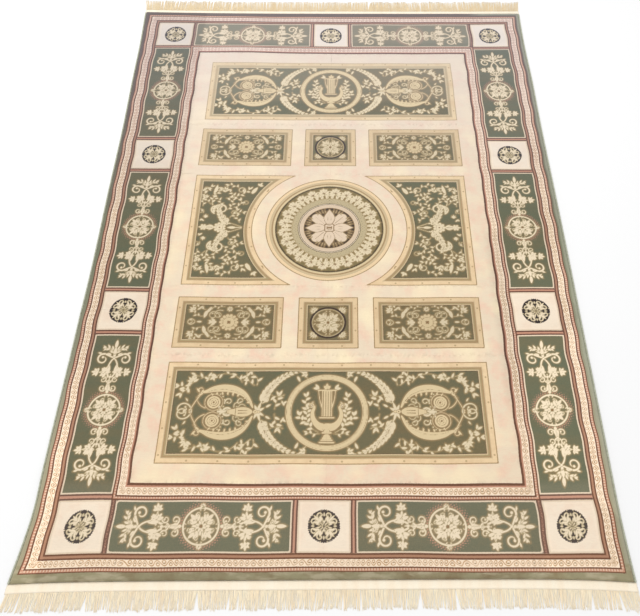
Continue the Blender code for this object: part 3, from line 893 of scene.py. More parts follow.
@dataclass
class MeshDraft:
    """Points and faces gathered as arrays until they are made into one mesh."""

    points: list[Array] = field(default_factory=list)
    faces: list[Array] = field(default_factory=list)
    flats: list[bool] = field(default_factory=list)
    corners: list[Array] = field(default_factory=list)
    count: int = 0

    def add_points(self, rows: Array) -> int:
        """Keep rows of points and tell the number of the first."""
        self.points.append(rows)
        self.count += len(rows)
        return self.count - len(rows)

    def add_faces(self, faces: Array, flat: bool, corners: Array) -> None:
        """Keep faces of one corner count.

        Args:
            faces: One row of point numbers for each face.
            flat: Whether the faces are shaded flat.
            corners: U and V for every corner of every face.
        """
        self.faces.append(np.asarray(faces, dtype=np.int64))
        self.flats.append(flat)
        self.corners.append(corners.reshape(-1, 2))

    def build(self, name: str, material: Material, fields: dict[str, Array] | None = None) -> Piece:
        """Make the object.

        Args:
            name: Name of the piece.
            material: Its material.
            fields: Named rows of three values for every point.

        Returns:
            The linked object.
        """
        mesh = bpy.data.meshes.new(name)
        points = np.concatenate(self.points)
        loops = np.concatenate([f.ravel() for f in self.faces])
        sizes = np.concatenate([np.full(len(f), f.shape[1]) for f in self.faces])
        flats = np.concatenate([np.full(len(f), flat) for f, flat in zip(self.faces, self.flats)])
        mesh.vertices.add(len(points))
        mesh.vertices.foreach_set("co", points.astype(np.float32).ravel())
        mesh.loops.add(len(loops))
        mesh.loops.foreach_set("vertex_index", loops.astype(np.int32))
        mesh.polygons.add(len(sizes))
        mesh.polygons.foreach_set("loop_start", (np.cumsum(sizes) - sizes).astype(np.int32))
        mesh.update(calc_edges=True)
        mesh.attributes.new("sharp_face", "BOOLEAN", "FACE").data.foreach_set("value", flats)
        mesh.uv_layers.new(name="OFBake").uv.foreach_set(
            "vector", np.concatenate(self.corners).astype(np.float32).ravel())
        for key, rows in (fields or {}).items():
            made = mesh.attributes.new(key, "FLOAT_VECTOR", "POINT")
            made.data.foreach_set("vector", rows.astype(np.float32).ravel())
        mesh.materials.append(material)
        LOG.info("%s: %d points, %d faces", name, len(points), len(sizes))
        return put(name, mesh)


def stations(keys: Table | list[float], pitches: float | list[float]) -> Array:
    """Places that hold every key and split each gap evenly at no more than its pitch.

    Args:
        keys: Places in rising order.
        pitches: The widest step allowed, for every gap or for each in turn.

    Returns:
        The places in rising order.
    """
    gaps = zip(keys[:-1], keys[1:], np.broadcast_to(pitches, len(keys) - 1))
    parts = [np.linspace(a, b, max(1, math.ceil((b - a) / pitch - 1e-6)) + 1)[:-1] for a, b, pitch in gaps]
    return np.concatenate([*parts, keys[-1:]])


def hemmed(places: Array, hem: float = 0.06) -> Array:
    """Grid places with one more a hair inside each end, so that only a hair's width turns down."""
    return np.concatenate([places[:1], places[:1] + hem, places[1:-1], places[-1:] - hem, places[-1:]])


def signed(places: Array, sign: int) -> Array:
    """Places on the positive side in rising order, or their mirror image in rising order."""
    reach = np.sort(np.abs(places))
    return reach if sign > 0 else -reach[::-1]


def grid_quads(rows: int, columns: int) -> Array:
    """Faces of a grid of points, seen from above."""
    near = (np.arange(rows - 1)[:, None] * columns + np.arange(columns - 1)).ravel()
    return np.stack([near, near + 1, near + columns + 1, near + columns], axis=-1)


@dataclass(frozen=True)
class Slab:
    """One closed slab of cloth between four straight cuts of the plan.

    Args:
        lie: How the cloth lies.
        name: Name of the piece.
        across: Grid places across, in millimetres.
        along: Grid places along the pattern, in millimetres.
        under: Height of the slab's underside over the cloth's.
        top: Height of its upper side.
        coarse: Widest step of the underside's grid, in millimetres.
        tuft: How far tufts stand above or below the level, in metres.
        shoulder: Width over which the rim is rounded, in millimetres.
        drop: How far the rim is rounded down, in metres.
    """

    lie: Lie
    name: str
    across: Array
    along: Array
    under: float
    top: float
    coarse: float = 70.0
    tuft: float = 0.00022
    shoulder: float = 6.0
    drop: float = 0.005

    def corner_map(self, x: Array, p: Array, low: float, high: float) -> Array:
        """U and V of places, with V between two limits."""
        u = 0.004 + 0.992 * (x - self.across[0]) / (self.across[-1] - self.across[0])
        v = low + (high - low) * (p - self.along[0]) / (self.along[-1] - self.along[0])
        return np.stack([u, v], axis=-1)

    def rim(self, x: Array, p: Array) -> Array:
        """Distance of places from the cloth's rim, in millimetres."""
        sides = (CLOTH_LEFT / MM, CLOTH_RIGHT / MM, CLOTH_FRONT / MM, CLOTH_BACK / MM)
        return depth_in(x, self.lie.to_plan(p) / MM, sides)

    def make(self, drawing: Drawing, material: Material, chance: np.random.Generator) -> Piece:
        """Make the slab: a fine upper side, a coarse underside and walls between them.

        Args:
            drawing: The rug's figures.
            material: The slab's material.
            chance: Source of the tufts' unevenness.

        Returns:
            The piece.
        """
        draft = MeshDraft()
        x, p = np.meshgrid(self.across, self.along)
        level = self.top - self.drop * np.clip(1.0 - self.rim(x, p) / self.shoulder, 0.0, 1.0) ** 2
        level[1:-1, 1:-1] += chance.uniform(-self.tuft, self.tuft, (len(x) - 2, x.shape[1] - 2))
        some_x, some_p = self.pick(self.across), self.pick(self.along)
        low_x, low_p = np.meshgrid(self.across[some_x], self.along[some_p])
        ids = []
        for at_x, at_p, height, limits, down in ((x, p, level, (0.004, 0.94), False),
                                                 (low_x, low_p, self.under, (0.955, 0.970), True)):
            first = draft.add_points(self.lie.points(*self.lie.woven(at_x, at_p), height))
            quads = grid_quads(*at_x.shape)[:, ::-1 if down else 1]
            corners = self.corner_map(at_x.ravel()[quads], at_p.ravel()[quads], *limits)
            draft.add_faces(quads + first, down, corners)
            ids.append(first + np.arange(at_x.size).reshape(at_x.shape))
        self.add_walls(draft, *ids, some_x, some_p)
        return draft.build(self.name, material, self.fields(
            np.concatenate([x, low_x], axis=None), np.concatenate([p, low_p], axis=None), drawing, x.size))

    def pick(self, places: Array) -> Array:
        """Numbers of the grid places that the underside keeps."""
        count = max(2, math.ceil((places[-1] - places[0]) / self.coarse) + 1)
        return np.unique(np.round(np.linspace(0, len(places) - 1, count)).astype(int))

    def add_walls(self, draft: MeshDraft, top: Array, low: Array, some_x: Array, some_p: Array) -> None:
        """Join the rim of the upper side to the rim of the underside.

        Args:
            draft: The mesh so far.
            top: Point numbers of the upper grid.
            low: Point numbers of the underside's grid.
            some_x: Columns that the underside keeps.
            some_p: Rows that the underside keeps.
        """
        sides = ((some_x, top[0], low[0]), (some_p, top[:, -1], low[:, -1]),
                 (some_x, top[-1], low[-1]), (some_p, top[:, 0], low[:, 0]))
        for order, (kept, upper, lower) in enumerate(sides):
            turn = 1 if order < 2 else -1
            for k in range(len(kept) - 1):
                rim = upper[kept[k]:kept[k + 1] + 1][::-1]
                ends = np.array([k, k + 1]) / (len(kept) - 1)
                u = np.concatenate([ends, np.linspace(ends[1], ends[0], len(rim))])
                v = np.concatenate([[0.976, 0.976], np.full(len(rim), 0.996)])
                corners = np.stack([0.004 + (order + 0.98 * u) * 0.248, v], axis=-1)
                draft.add_faces(np.concatenate([lower[k:k + 2], rim])[None, ::turn], True, corners[::turn])

    def fields(self, x: Array, p: Array, drawing: Drawing, fine: int) -> dict[str, Array]:
        """The values that the material reads at every point.

        Args:
            x: Places across.
            p: Places along.
            drawing: The rug's figures.
            fine: Number of points in the upper side.

        Returns:
            Named rows of three values.
        """
        layout = Layout()
        cell, square = layout.cell(x, p)
        chart = Chart(self.across, self.along)
        chart.lay(drawing)
        depth = np.full((len(Yarn), len(x)), -chart.deepest)
        depth[:, :fine] = chart.depth.reshape(len(Yarn), -1)
        rose, ink, pale, gold, shade = depth
        rows = {"plan": (x, p, cell),
                "stripe": (layout.stripe(x, p), layout.run(x, p), layout.panel(x, p)),
                "figure": (rose, ink, pale), "accent": (gold, shade, square)}
        return {name: np.stack(values, axis=-1) for name, values in rows.items()}


# ---- finishes


def linear(red: int, green: int, blue: int) -> Colour:
    """A display colour of 0 to 255 as the linear values that shaders take."""
    return tuple((v / 255 / 12.92) if v <= 10 else ((v / 255 + 0.055) / 1.055) ** 2.4
                 for v in (red, green, blue))


class Wire:
    """A value in a node tree that plain arithmetic can be done with."""

    def __init__(self, tree: bpy.types.NodeTree, socket: Socket) -> None:
        """Hold the tree and the socket that gives the value."""
        self.tree = tree
        self.socket = socket

    def math(self, operation: str, *others: Wire | float) -> Wire:
        """Join this value and others with a math node.

        Args:
            operation: The node's operation.
            others: Further inputs, as wires or plain numbers.

        Returns:
            The result.
        """
        node = self.tree.nodes.new("ShaderNodeMath")
        node.operation = operation
        for socket, value in zip(node.inputs, (self, *others)):
            feed(self.tree, socket, value)
        return Wire(self.tree, node.outputs[0])

    def __add__(self, other: Wire | float) -> Wire:
        """The sum."""
        return self.math("ADD", other)

    def __sub__(self, other: Wire | float) -> Wire:
        """The difference."""
        return self.math("SUBTRACT", other)

    def __mul__(self, other: Wire | float) -> Wire:
        """The product."""
        return self.math("MULTIPLY", other)

    def __truediv__(self, other: Wire | float) -> Wire:
        """The quotient."""
        return self.math("DIVIDE", other)

    def clamped(self) -> Wire:
        """The value held between 0 and 1."""
        return self.math("MINIMUM", 1.0).math("MAXIMUM", 0.0)

    def above(self, limit: float, soft: float = 0.9) -> Wire:
        """1 where the value is over the limit and 0 under it, with a soft step between."""
        return ((self - limit) / soft + 0.5).clamped()

    def below(self, limit: float, soft: float = 0.9) -> Wire:
        """1 where the value is under the limit and 0 over it, with a soft step between."""
        return self.above(limit, soft) * -1.0 + 1.0

    def between(self, low: float, high: float, soft: float = 0.9) -> Wire:
        """1 between two limits."""
        return self.above(low, soft) - self.above(high, soft)

    def rising(self, start: float, end: float) -> Wire:
        """0 at the start, 1 at the end and an even change between."""
        return ((self - start) / (end - start)).clamped()

    def off(self, middle: float) -> Wire:
        """Distance from a middle."""
        return (self - middle).math("ABSOLUTE")

    def from_nearest(self, pitch: float, start: float = 0.0) -> Wire:
        """Signed distance from the nearest of many places that stand a pitch apart."""
        return ((self / pitch + start).math("FRACT") - 0.5) * pitch

    def away(self, other: Wire) -> Wire:
        """The long side of a right triangle with this value and another as its short sides."""
        return (self * self + other * other).math("SQRT")


Value = Wire | Socket | Table | float


def feed(tree: bpy.types.NodeTree, socket: Socket, value: Value) -> None:
    """Give an input a wire, another node's socket, a colour or plain numbers.

    Args:
        tree: The node tree.
        socket: The input.
        value: What goes into it.
    """
    value = value.socket if isinstance(value, Wire) else value
    if isinstance(value, Socket):
        tree.links.new(value, socket)
    else:
        socket.default_value = (*value, 1.0) if socket.type == "RGBA" else value


class Palette:
    """A material under construction: its node tree and the nodes it is commonly made of."""

    def __init__(self, name: str) -> None:
        """Start a material with one Principled shader."""
        self.material = bpy.data.materials.new(name)
        self.material.use_nodes = True
        self.tree = self.material.node_tree
        self.shader = self.tree.nodes["Principled BSDF"]

    def fill(self, node: bpy.types.Node, **values: Value) -> None:
        """Give a node's inputs their values; underscores in the names stand for spaces."""
        for key, value in values.items():
            feed(self.tree, node.inputs[key.replace("_", " ")], value)

    def node(self, kind: str, **values: Value) -> bpy.types.Node:
        """A new node of a kind, with its inputs given."""
        node = self.tree.nodes.new(f"ShaderNode{kind}")
        self.fill(node, **values)
        return node

    def attribute(self, name: str) -> tuple[Wire, Wire, Wire]:
        """The three values of a point attribute."""
        node = self.node("Attribute")
        node.attribute_name = name
        split = self.node("SeparateXYZ", Vector=node.outputs["Vector"])
        return tuple(Wire(self.tree, split.outputs[k]) for k in range(3))

    def noise(self, scale: float | Colour, detail: float = 2.0, roughness: float = 0.5) -> Wire:
        """Noise between about -1 and 1 over the piece.

        Args:
            scale: Cycles a metre, in all directions or in each.
            detail: Number of finer noises in it.
            roughness: Strength of a finer noise over the one before.

        Returns:
            The noise.
        """
        scale = scale if isinstance(scale, tuple) else (scale,) * 3
        place = self.node("Mapping", Vector=self.node("TexCoord").outputs["Object"], Scale=scale)
        node = self.node("TexNoise", Vector=place.outputs["Vector"], Scale=1.0, Detail=detail,
                         Roughness=roughness)
        return (Wire(self.tree, node.outputs["Fac"]) - 0.5) * 3.0

    def ramp(self, value: Wire, low: float, high: float, rows: zip | tuple) -> Socket:
        """Flat stripes of colour along a value.

        Args:
            value: The value.
            low: Where the ramp starts.
            high: Where it ends.
            rows: Where each stripe starts, and its colour.

        Returns:
            The colour.
        """
        node = self.node("ValToRGB", Fac=(value - low) / (high - low))
        node.color_ramp.interpolation = "CONSTANT"
        elements = node.color_ramp.elements
        for order, (place, colour) in enumerate(rows):
            position = (place - low) / (high - low)
            element = elements[order] if order < 2 else elements.new(position)
            element.position = position
            element.color = (*colour, 1.0)
        return node.outputs["Color"]

    def layers(self, colour: Socket | Colour, *coats: tuple[Wire | float, Socket | Colour]) -> Socket:
        """Lay coats of colour over a ground in turn.

        Args:
            colour: The ground.
            coats: The share of each coat and its colour.

        Returns:
            The mixed colour.
        """
        for share, coat in coats:
            node = self.node("Mix")
            node.data_type = "RGBA"
            for place, value in ((0, share), (6, colour), (7, coat)):
                feed(self.tree, node.inputs[place], value)
            colour = node.outputs[2]
        return colour

    def brighten(self, colour: Socket, share: Wire) -> Socket:
        """Multiply a colour by one plus a share."""
        node = self.node("VectorMath")
        node.operation = "SCALE"
        self.fill(node, Vector=colour, Scale=share + 1.0)
        return node.outputs[0]

    def finish(self, colour: Socket | Colour, **values: float) -> Material:
        """Give the shader its colour and its plain numbers, and hand the material over."""
        self.fill(self.shader, Base_Color=colour, **values)
        return self.material

    def bump(self, height: Wire, depth: float, strength: float) -> None:
        """Give the shader a bump of a height field times a depth in metres."""
        node = self.node("Bump", Strength=strength, Distance=depth, Height=height)
        self.fill(self.shader, Normal=node.outputs["Normal"])


@dataclass(frozen=True)
class PileWool:
    """Dyed wool pile: the ground colours of the stripes and the yarns of the figures, with the painted sheen,
    light and shade over them.
    """

    cream: Colour = linear(236, 217, 190)
    guard: Colour = linear(250, 229, 203)
    # The guard stripe as the painted sheen makes it toward the back.
    guard_back: Colour = linear(232, 211, 202)
    tan: Colour = linear(238, 210, 168)
    sand: Colour = linear(208, 186, 148)
    copper: Colour = linear(172, 128, 104)
    petal: Colour = linear(226, 204, 178)
    blush: Colour = linear(238, 206, 180)
    straw: Colour = linear(248, 230, 194)
    scroll: Colour = linear(194, 156, 116)
    # The scrolls as the painted sheen makes them toward the back.
    scroll_back: Colour = linear(196, 150, 132)
    rose: Colour = linear(194, 142, 118)
    dark: Colour = linear(106, 72, 58)
    brown: Colour = linear(172, 144, 106)
    green: Colour = linear(99, 103, 81)
    # The green as the painted sheen of the nap turns it; also the last stop of the frames' ramp.
    olive: Colour = linear(115, 101, 72)
    outer: Colour = linear(126, 128, 104)
    # Painted sheen: the outer band paler at the front end and on the sides toward the front.
    outer_front: Colour = linear(146, 142, 114)
    outer_side: Colour = linear(162, 156, 130)
    outer_patch: Colour = linear(116, 100, 74)
    outer_pale: Colour = linear(176, 168, 142)
    # Painted highlight along the right edge of the outer band.
    rim: Colour = linear(160, 160, 138)
    # Painted sheen: the outer band browner toward the back.
    outer_back: Colour = linear(106, 90, 78)
    # A pale wash; toward the back it is painted sheen.
    veil: Colour = linear(214, 196, 174)
    # Painted bluish sheen of the pile toward the back.
    blue_sheen: Colour = linear(190, 214, 250)
    amber: Colour = linear(214, 158, 84)
    # Painted shade over the border toward the back.
    back_border_shade: Colour = linear(130, 112, 98)
    dusk: Colour = linear(140, 112, 72)
    # Field and frames as the painted sheen makes them toward the back.
    field_back: Colour = linear(222, 206, 192)
    frame_back: Colour = linear(208, 192, 162)
    light: Colour = linear(226, 205, 178)
    square: Colour = linear(244, 227, 204)
    # The squares as the painted sheen makes them toward the back.
    chalk: Colour = linear(236, 225, 214)
    ink: Colour = linear(52, 44, 44)
    pale: Colour = linear(226, 209, 176)
    bright: Colour = linear(236, 218, 188)
    pale_edge: Colour = linear(172, 154, 114)
    haze: Colour = linear(170, 142, 100)
    gold: Colour = linear(220, 199, 158)
    shade: Colour = linear(140, 112, 78)
    net: Colour = linear(92, 80, 58)
    lace: Colour = linear(192, 176, 140)
    wreath: Colour = linear(128, 114, 78)
    fuzz: float = 0.55
    stripes_from: float = 520
    stripes_to: float = 800
    frame_depth: float = 31.5
    medallion: float = 216

    def stripes(self, palette: Palette, edge: Wire) -> Socket:
        """The border's stripes over the distance from the middle."""
        return palette.ramp(edge, self.stripes_from, self.stripes_to, zip(
            (self.stripes_from, *STRIPE_SIDES[1:-1]),
            (self.cream, self.dark, self.rose, self.guard, self.dark, self.rose, self.dark, self.light,
             self.green, self.light, self.dark, self.copper, self.dark, self.guard, self.dark, self.rose,
             self.dark, self.outer)))

    def frames(self, palette: Palette, panel: Wire) -> Socket:
        """The framed panels' lines over the depth inside the panel."""
        return palette.ramp(panel, 0, 40, (
            (0, self.brown), (3, self.tan), (15.5, self.sand), (18, self.brown), (22.5, self.pale_edge),
            (26, self.sand), (29.5, self.net), (self.frame_depth, self.olive)))

    def rings(self, palette: Palette, radius: Wire) -> Socket:
        """The medallion's rings over the radius."""
        return palette.ramp(radius, 0, 260, (
            (0, self.ink), (84, self.brown), (86, self.petal), (99.5, self.net), (101, self.cream),
            (103.5, self.net), (105.5, self.lace), (127, self.wreath), (176, self.net), (182.5, self.gold),
            (189, self.brown), (194.5, self.sand), (203, self.tan), (212, self.brown), (215, self.cream)))

    def outer_band(self, palette: Palette, x: Wire, p: Wire, edge: Wire, slow: Wire) -> Socket:
        """The plain band at the rug's edge, with painted sheen: paler at the front and browner toward the
        back, and a painted highlight along the right edge.
        """
        blotch = (palette.noise(16, 3, 0.6) + slow * 0.3 + 0.25).clamped()
        wisps = (palette.noise((13, 40, 13), 3, 0.6) * 2.4).clamped()
        front = palette.layers(self.outer_front, (blotch, self.outer_patch), (wisps * 0.8, self.outer_pale))
        return palette.layers(
            self.outer, ((p * 0.0014 + blotch * 0.35).clamped(), self.outer_back),
            (p.rising(-150, -650) * 0.75, self.outer_side),
            (x.above(600, 60) * edge.above(780, 4) * 0.8, self.rim), (p.below(-1088, 6), front))

    def painted_light_and_shade(self, x: Wire, p: Wire, square: Wire) -> Wire:
        """Painted light and shade of creases and the nap: how much lighter or darker the pile is made from
        place to place.
        """
        # Painted shade on the left border, growing toward the back; painted light on the right border toward
        # the front and on the left outer band near the front.
        painted_shade_left = x.below(-530, 20) * (p.rising(-700, -450) * 0.08 + p.rising(-300, 200) * 0.07)
        painted_light = x.above(570, 20) * p.rising(-60, -310) * (square * -0.8 + 1) * 0.15
        painted_light = painted_light + x.below(-730, 12) * ((p + 500) * -0.003).clamped() * 0.22
        # Painted shade on the right inner guard stripes, between about 20 and 660 mm toward the front.
        guard = x.between(520, 575, 15)
        guard_shade = (guard - (guard * p.off(-340).above(320, 60)).clamped()).clamped()
        # A little painted shade across the middle of the rug's length.
        middle = (p.off(-50) * -0.0014 + 1).clamped() * 0.035
        return painted_light - painted_shade_left - (middle + guard_shade * 0.09)

    def material(self) -> Material:
        """Make the pile's material: the grounds, then the drawn yarns, then the changes of light.

        Returns:
            The material.
        """
        palette = Palette("pile_wool")
        x, p, cell = palette.attribute("plan")
        edge, run, panel = palette.attribute("stripe")
        rose, ink, pale = palette.attribute("figure")
        gold, shade, square = palette.attribute("accent")
        jitter = palette.noise(420, 1) * self.fuzz
        # Painted sheen: the first noise here gives bands across the rug where the nap catches the light
        # differently.
        sheen_bands, slow = palette.noise((0.9, 13, 1), 3, 0.6), palette.noise((1.1, 1.5, 1), 1)
        clouds, patches = palette.noise(24, 3, 0.65), palette.noise((9, 7, 9))
        sheen_mottle = palette.noise((14, 26, 14), 2, 0.6)
        # The far share rises from the middle to the back; the colours it mixes in are painted sheen of the
        # pile seen further off.
        radius, far = x.away(p), p.rising(0, 900)
        stripe, depth, frame_depth, reach = edge + jitter, cell + jitter, panel + jitter, radius + jitter
        in_band = stripe.between(*BAND_SIDES, 0.4)
        cartouche = square.below(0.5, 0.1)
        # Painted sheen of the nap: the green turns olive in slow patches and cross bands, less so in the
        # border's band.
        lie = slow * 0.6 + sheen_bands * 0.4 + sheen_mottle * 0.3 + 0.45
        green = palette.layers(self.green, ((lie - in_band * 0.3).clamped(), self.olive))
        marbled = (clouds * 1.6 + patches * 0.8 + 0.3).clamped()
        # Squares: blush in random marbling, whiter toward the back as painted sheen, and a guard-coloured
        # line inside the rim.
        paper = palette.layers(self.square, (marbled * 0.35, self.blush), (far * 0.8, self.chalk),
                               (depth.between(7, 11, 1.5) * 0.5, self.guard))
        inner = palette.layers(green, (square.above(0.5, 0.1), paper))
        band = palette.layers(self.rose, (depth.above(-4.9, 0.6), self.dark),
                              (depth.above(0, 0.6), self.light), (depth.above(4.2, 0.6), inner))
        # Field ground: blush in random clouds, straw in random patches that the painted sheen bands also
        # drive, and painted sheen toward the back.
        ground = palette.layers(self.cream, ((clouds * 1.5 + 0.3).clamped(), self.blush),
                                ((patches * 1.3 + sheen_bands * 0.5 + 0.15).clamped(), self.straw),
                                (far * 0.75, self.field_back))
        # Frames: paler toward the back as painted sheen, with scroll colour in random clouds.
        frames = palette.layers(self.frames(palette, frame_depth), (far * 0.6, self.frame_back),
                                ((clouds * 1.2 + 0.25).clamped() * 0.3, self.scroll),
                                (frame_depth.above(self.frame_depth, 0.6), green))
        inside = reach.below(self.medallion, 0.6)
        colour = palette.layers(
            self.stripes(palette, stripe), (in_band, band),
            (stripe.above(OUTER_SIDE, 0.6), self.outer_band(palette, x, p, edge, slow)),
            (stripe.below(FIELD_SIDE, 0.6), ground), (frame_depth.above(0, 0.5), frames),
            (inside, self.rings(palette, reach)))
        colour = self.guards(palette, colour, far, edge, run, jitter)
        colour = self.beads(palette, colour, edge, run, panel, x, p)

        free = (panel.above(30.5, 1) + in_band * depth.above(3.6, 0.6) + inside).clamped()
        halo = ((pale + jitter).above(-2.4, 3.4) + (gold + jitter).above(-2.4, 3.4)).clamped()
        halo = halo * free * cartouche * (p.below(-820, 20) * 0.25 + 0.6) * (in_band * -0.3 + 1)
        pale_yarn = palette.layers(self.pale, (in_band, self.bright))
        pale_yarn = palette.layers(self.petal, (radius.above(100, 0.5), pale_yarn))
        pale_yarn = palette.layers(self.pale_edge, ((pale + jitter * 0.5).above(0.9, 1.6), pale_yarn))
        gold_yarn = palette.layers(self.shade, ((gold + jitter * 0.5).above(0.9, 1.6), self.gold))
        yarns = ((rose, self.rose, 1.4), (ink, self.ink, 0.9), (pale, pale_yarn, 0.9), (gold, gold_yarn, 0.9),
                 (shade, self.shade, 0.9))
        colour = palette.layers(colour, (halo, self.haze), *(
            ((inside_yarn + jitter * 0.8).above(0, soft) * free, yarn) for inside_yarn, yarn, soft in yarns))

        beyond_field = edge.above(FIELD_SIDE, 8)
        # Painted sheen toward the back: a pale veil over the back cartouches and back panels, a browner shade
        # over the border and a bluish tint over all. The veil also lightens the front end band a little, and
        # amber warms the front.
        colour = palette.layers(
            colour, (p.above(930, 60) * in_band * cartouche * 0.2, self.veil),
            (p.off(0).between(262, 478, 6) * panel.above(0, 0.5) * 0.15, self.dusk),
            (far * beyond_field * 0.1, self.back_border_shade), (far * 0.07, self.blue_sheen),
            (p.above(620, 40) * panel.above(30.5, 1) * 0.12 + p.below(-880, 20) * in_band * 0.07, self.veil),
            (p.rising(-500, -1000) * (in_band * -0.9 + 1) * 0.06, self.amber))
        colour = palette.brighten(colour, self.painted_light_and_shade(x, p, square))
        # Fine random flecks and knot rows brighten the colour, together with the painted sheen bands and the
        # painted light and shade of folds over the border beyond the field.
        fleck = palette.noise(700, 2, 0.7)
        rows = palette.noise((60, 320, 1), 2, 0.6)
        border = palette.noise((3, 11, 1), 2, 0.6) * beyond_field
        colour = palette.brighten(colour, fleck * 0.05 + sheen_bands * 0.035 + rows * 0.035 + border * 0.055)
        palette.bump(fleck * 0.5 + rows * 0.4 + jitter * 0.5, 0.0008, 0.6)
        return palette.finish(colour, Roughness=0.92, Sheen_Weight=0.18, Sheen_Roughness=0.5,
                              Specular_IOR_Level=0.15)

    def guards(self, palette: Palette, colour: Socket, far: Wire, edge: Wire, run: Wire,
               jitter: Wire) -> Socket:
        """Draw the running scrolls of the two guard stripes.

        A line waves along the stripe, a little loosely. Under each crest and over each trough lies a
        small ring, and dots stand between them.
        """
        loose = palette.noise(11)
        # Toward the back the scrolls and the stripe are painted with the sheen of the far pile.
        scroll = palette.layers(self.scroll, (far, self.scroll_back))
        for middle, pitch, swing in ((750, 31, 6.6), (555.5, 30, 6.2)):
            off = edge - middle + jitter
            along = run + loose * 14
            wave = (along * (2 * math.pi / pitch)).math("SINE") * swing
            tone = (off - wave).math("ABSOLUTE").below(1.6, 1.6)
            for start, side in ((0.25, 3), (0.75, -3)):
                tone = tone + along.from_nearest(pitch, start).away(off + side).off(4).below(1.2, 1.4)
            near = edge.off(middle).below(9.2, 1.4)
            bud = along.from_nearest(pitch / 2).away(off).below(1.8, 1.2)
            colour = palette.layers(colour, (near * far * 0.6, self.guard_back),
                                    ((tone.clamped() * near * (loose * 0.5 + 0.84)).clamped(), scroll),
                                    (bud * 0.5, self.net))
        return colour

    def beads(self, palette: Palette, colour: Socket, edge: Wire, run: Wire, panel: Wire, x: Wire,
              p: Wire) -> Socket:
        """Draw the beads of the rose lines and the small dots of the panels' frames."""
        dashes = (run / 7.5).math("FRACT").between(0.2, 0.62, 0.25)
        coats = [(dashes * edge.between(low, high, 0.5) * 0.55, self.guard)
                 for low, high in ((764.9, 770.1), (570.3, 574.2))]
        coats += [(along.from_nearest(pitch, start).away(panel - 9).below(3, 1.5) * 0.7, self.brown)
                  for along, pitch, start in ((x, 86, 0), (p, 80, 0.5))]
        turn = (p.math("ARCTAN2", x) * (80 / math.pi)).math("FRACT").between(0.3, 0.7, 0.3)
        return palette.layers(colour, *coats, (turn * x.away(p).between(88, 97.5, 1) * 0.35, self.brown))


@dataclass(frozen=True)
class SpunYarn:
    """Cotton or wool in plain strands: two colours in slow patches, and fine ribs."""

    name: str
    base: Colour
    warm: Colour
    ribs: Table = (700.0, 120.0, 300.0)
    patches: Table = (55.0, 9.0, 9.0)
    warmth: float = 0.5
    rib_shade: float = 0.05
    fleck: float = 0.03
    roughness: float = 0.85
    sheen: float = 0.6
    bump: Place = (0.0003, 0.4)

    def material(self) -> Material:
        """Make the yarn's material, once for all the pieces that share it.

        Returns:
            The material.
        """
        if self.name in bpy.data.materials:
            return bpy.data.materials[self.name]
        palette = Palette(self.name)
        share = (palette.noise(self.patches) * 0.5 + self.warmth).clamped()
        colour = palette.layers(self.base, (share, self.warm))
        ribs = palette.noise(self.ribs, 1.0)
        colour = palette.brighten(colour, palette.noise(900.0, 1.0) * self.fleck + ribs * self.rib_shade)
        palette.bump(ribs, *self.bump)
        return palette.finish(colour, Roughness=self.roughness, Sheen_Weight=self.sheen, Sheen_Roughness=0.5,
                              Specular_IOR_Level=0.2)


WARP_FRONT = SpunYarn("cotton_warp", linear(255, 245, 218), linear(255, 232, 196))
WARP_BACK = SpunYarn("cotton_warp_back", linear(244, 222, 180), linear(230, 203, 156))
STRIP_COTTON = SpunYarn("cotton_strip", linear(255, 245, 224), linear(252, 234, 206), (300.0, 700.0, 300.0))
BINDING_WOOL = SpunYarn("binding_wool", linear(194, 196, 176), linear(152, 152, 128), (200.0, 800.0, 200.0),
                        (30.0, 160.0, 30.0), 0.4, 0.0, 0.0, 0.9, 0.15, (0.0004, 0.6))


@dataclass(frozen=True)
class FloorPaint:
    """A plain white floor."""

    colour: Colour = (0.93, 0.93, 0.93)

    def material(self) -> Material:
        """Make the floor's material."""
        return Palette("floor_white").finish(self.colour, Roughness=0.7, Specular_IOR_Level=0.2)


# ---- the rug's own pieces


def declare(piece: Piece, node: str) -> Piece:
    """Let a piece ride with the rug and stand for a node of the frame, which is hidden."""
    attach(piece, "root")
    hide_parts(node)
    return piece


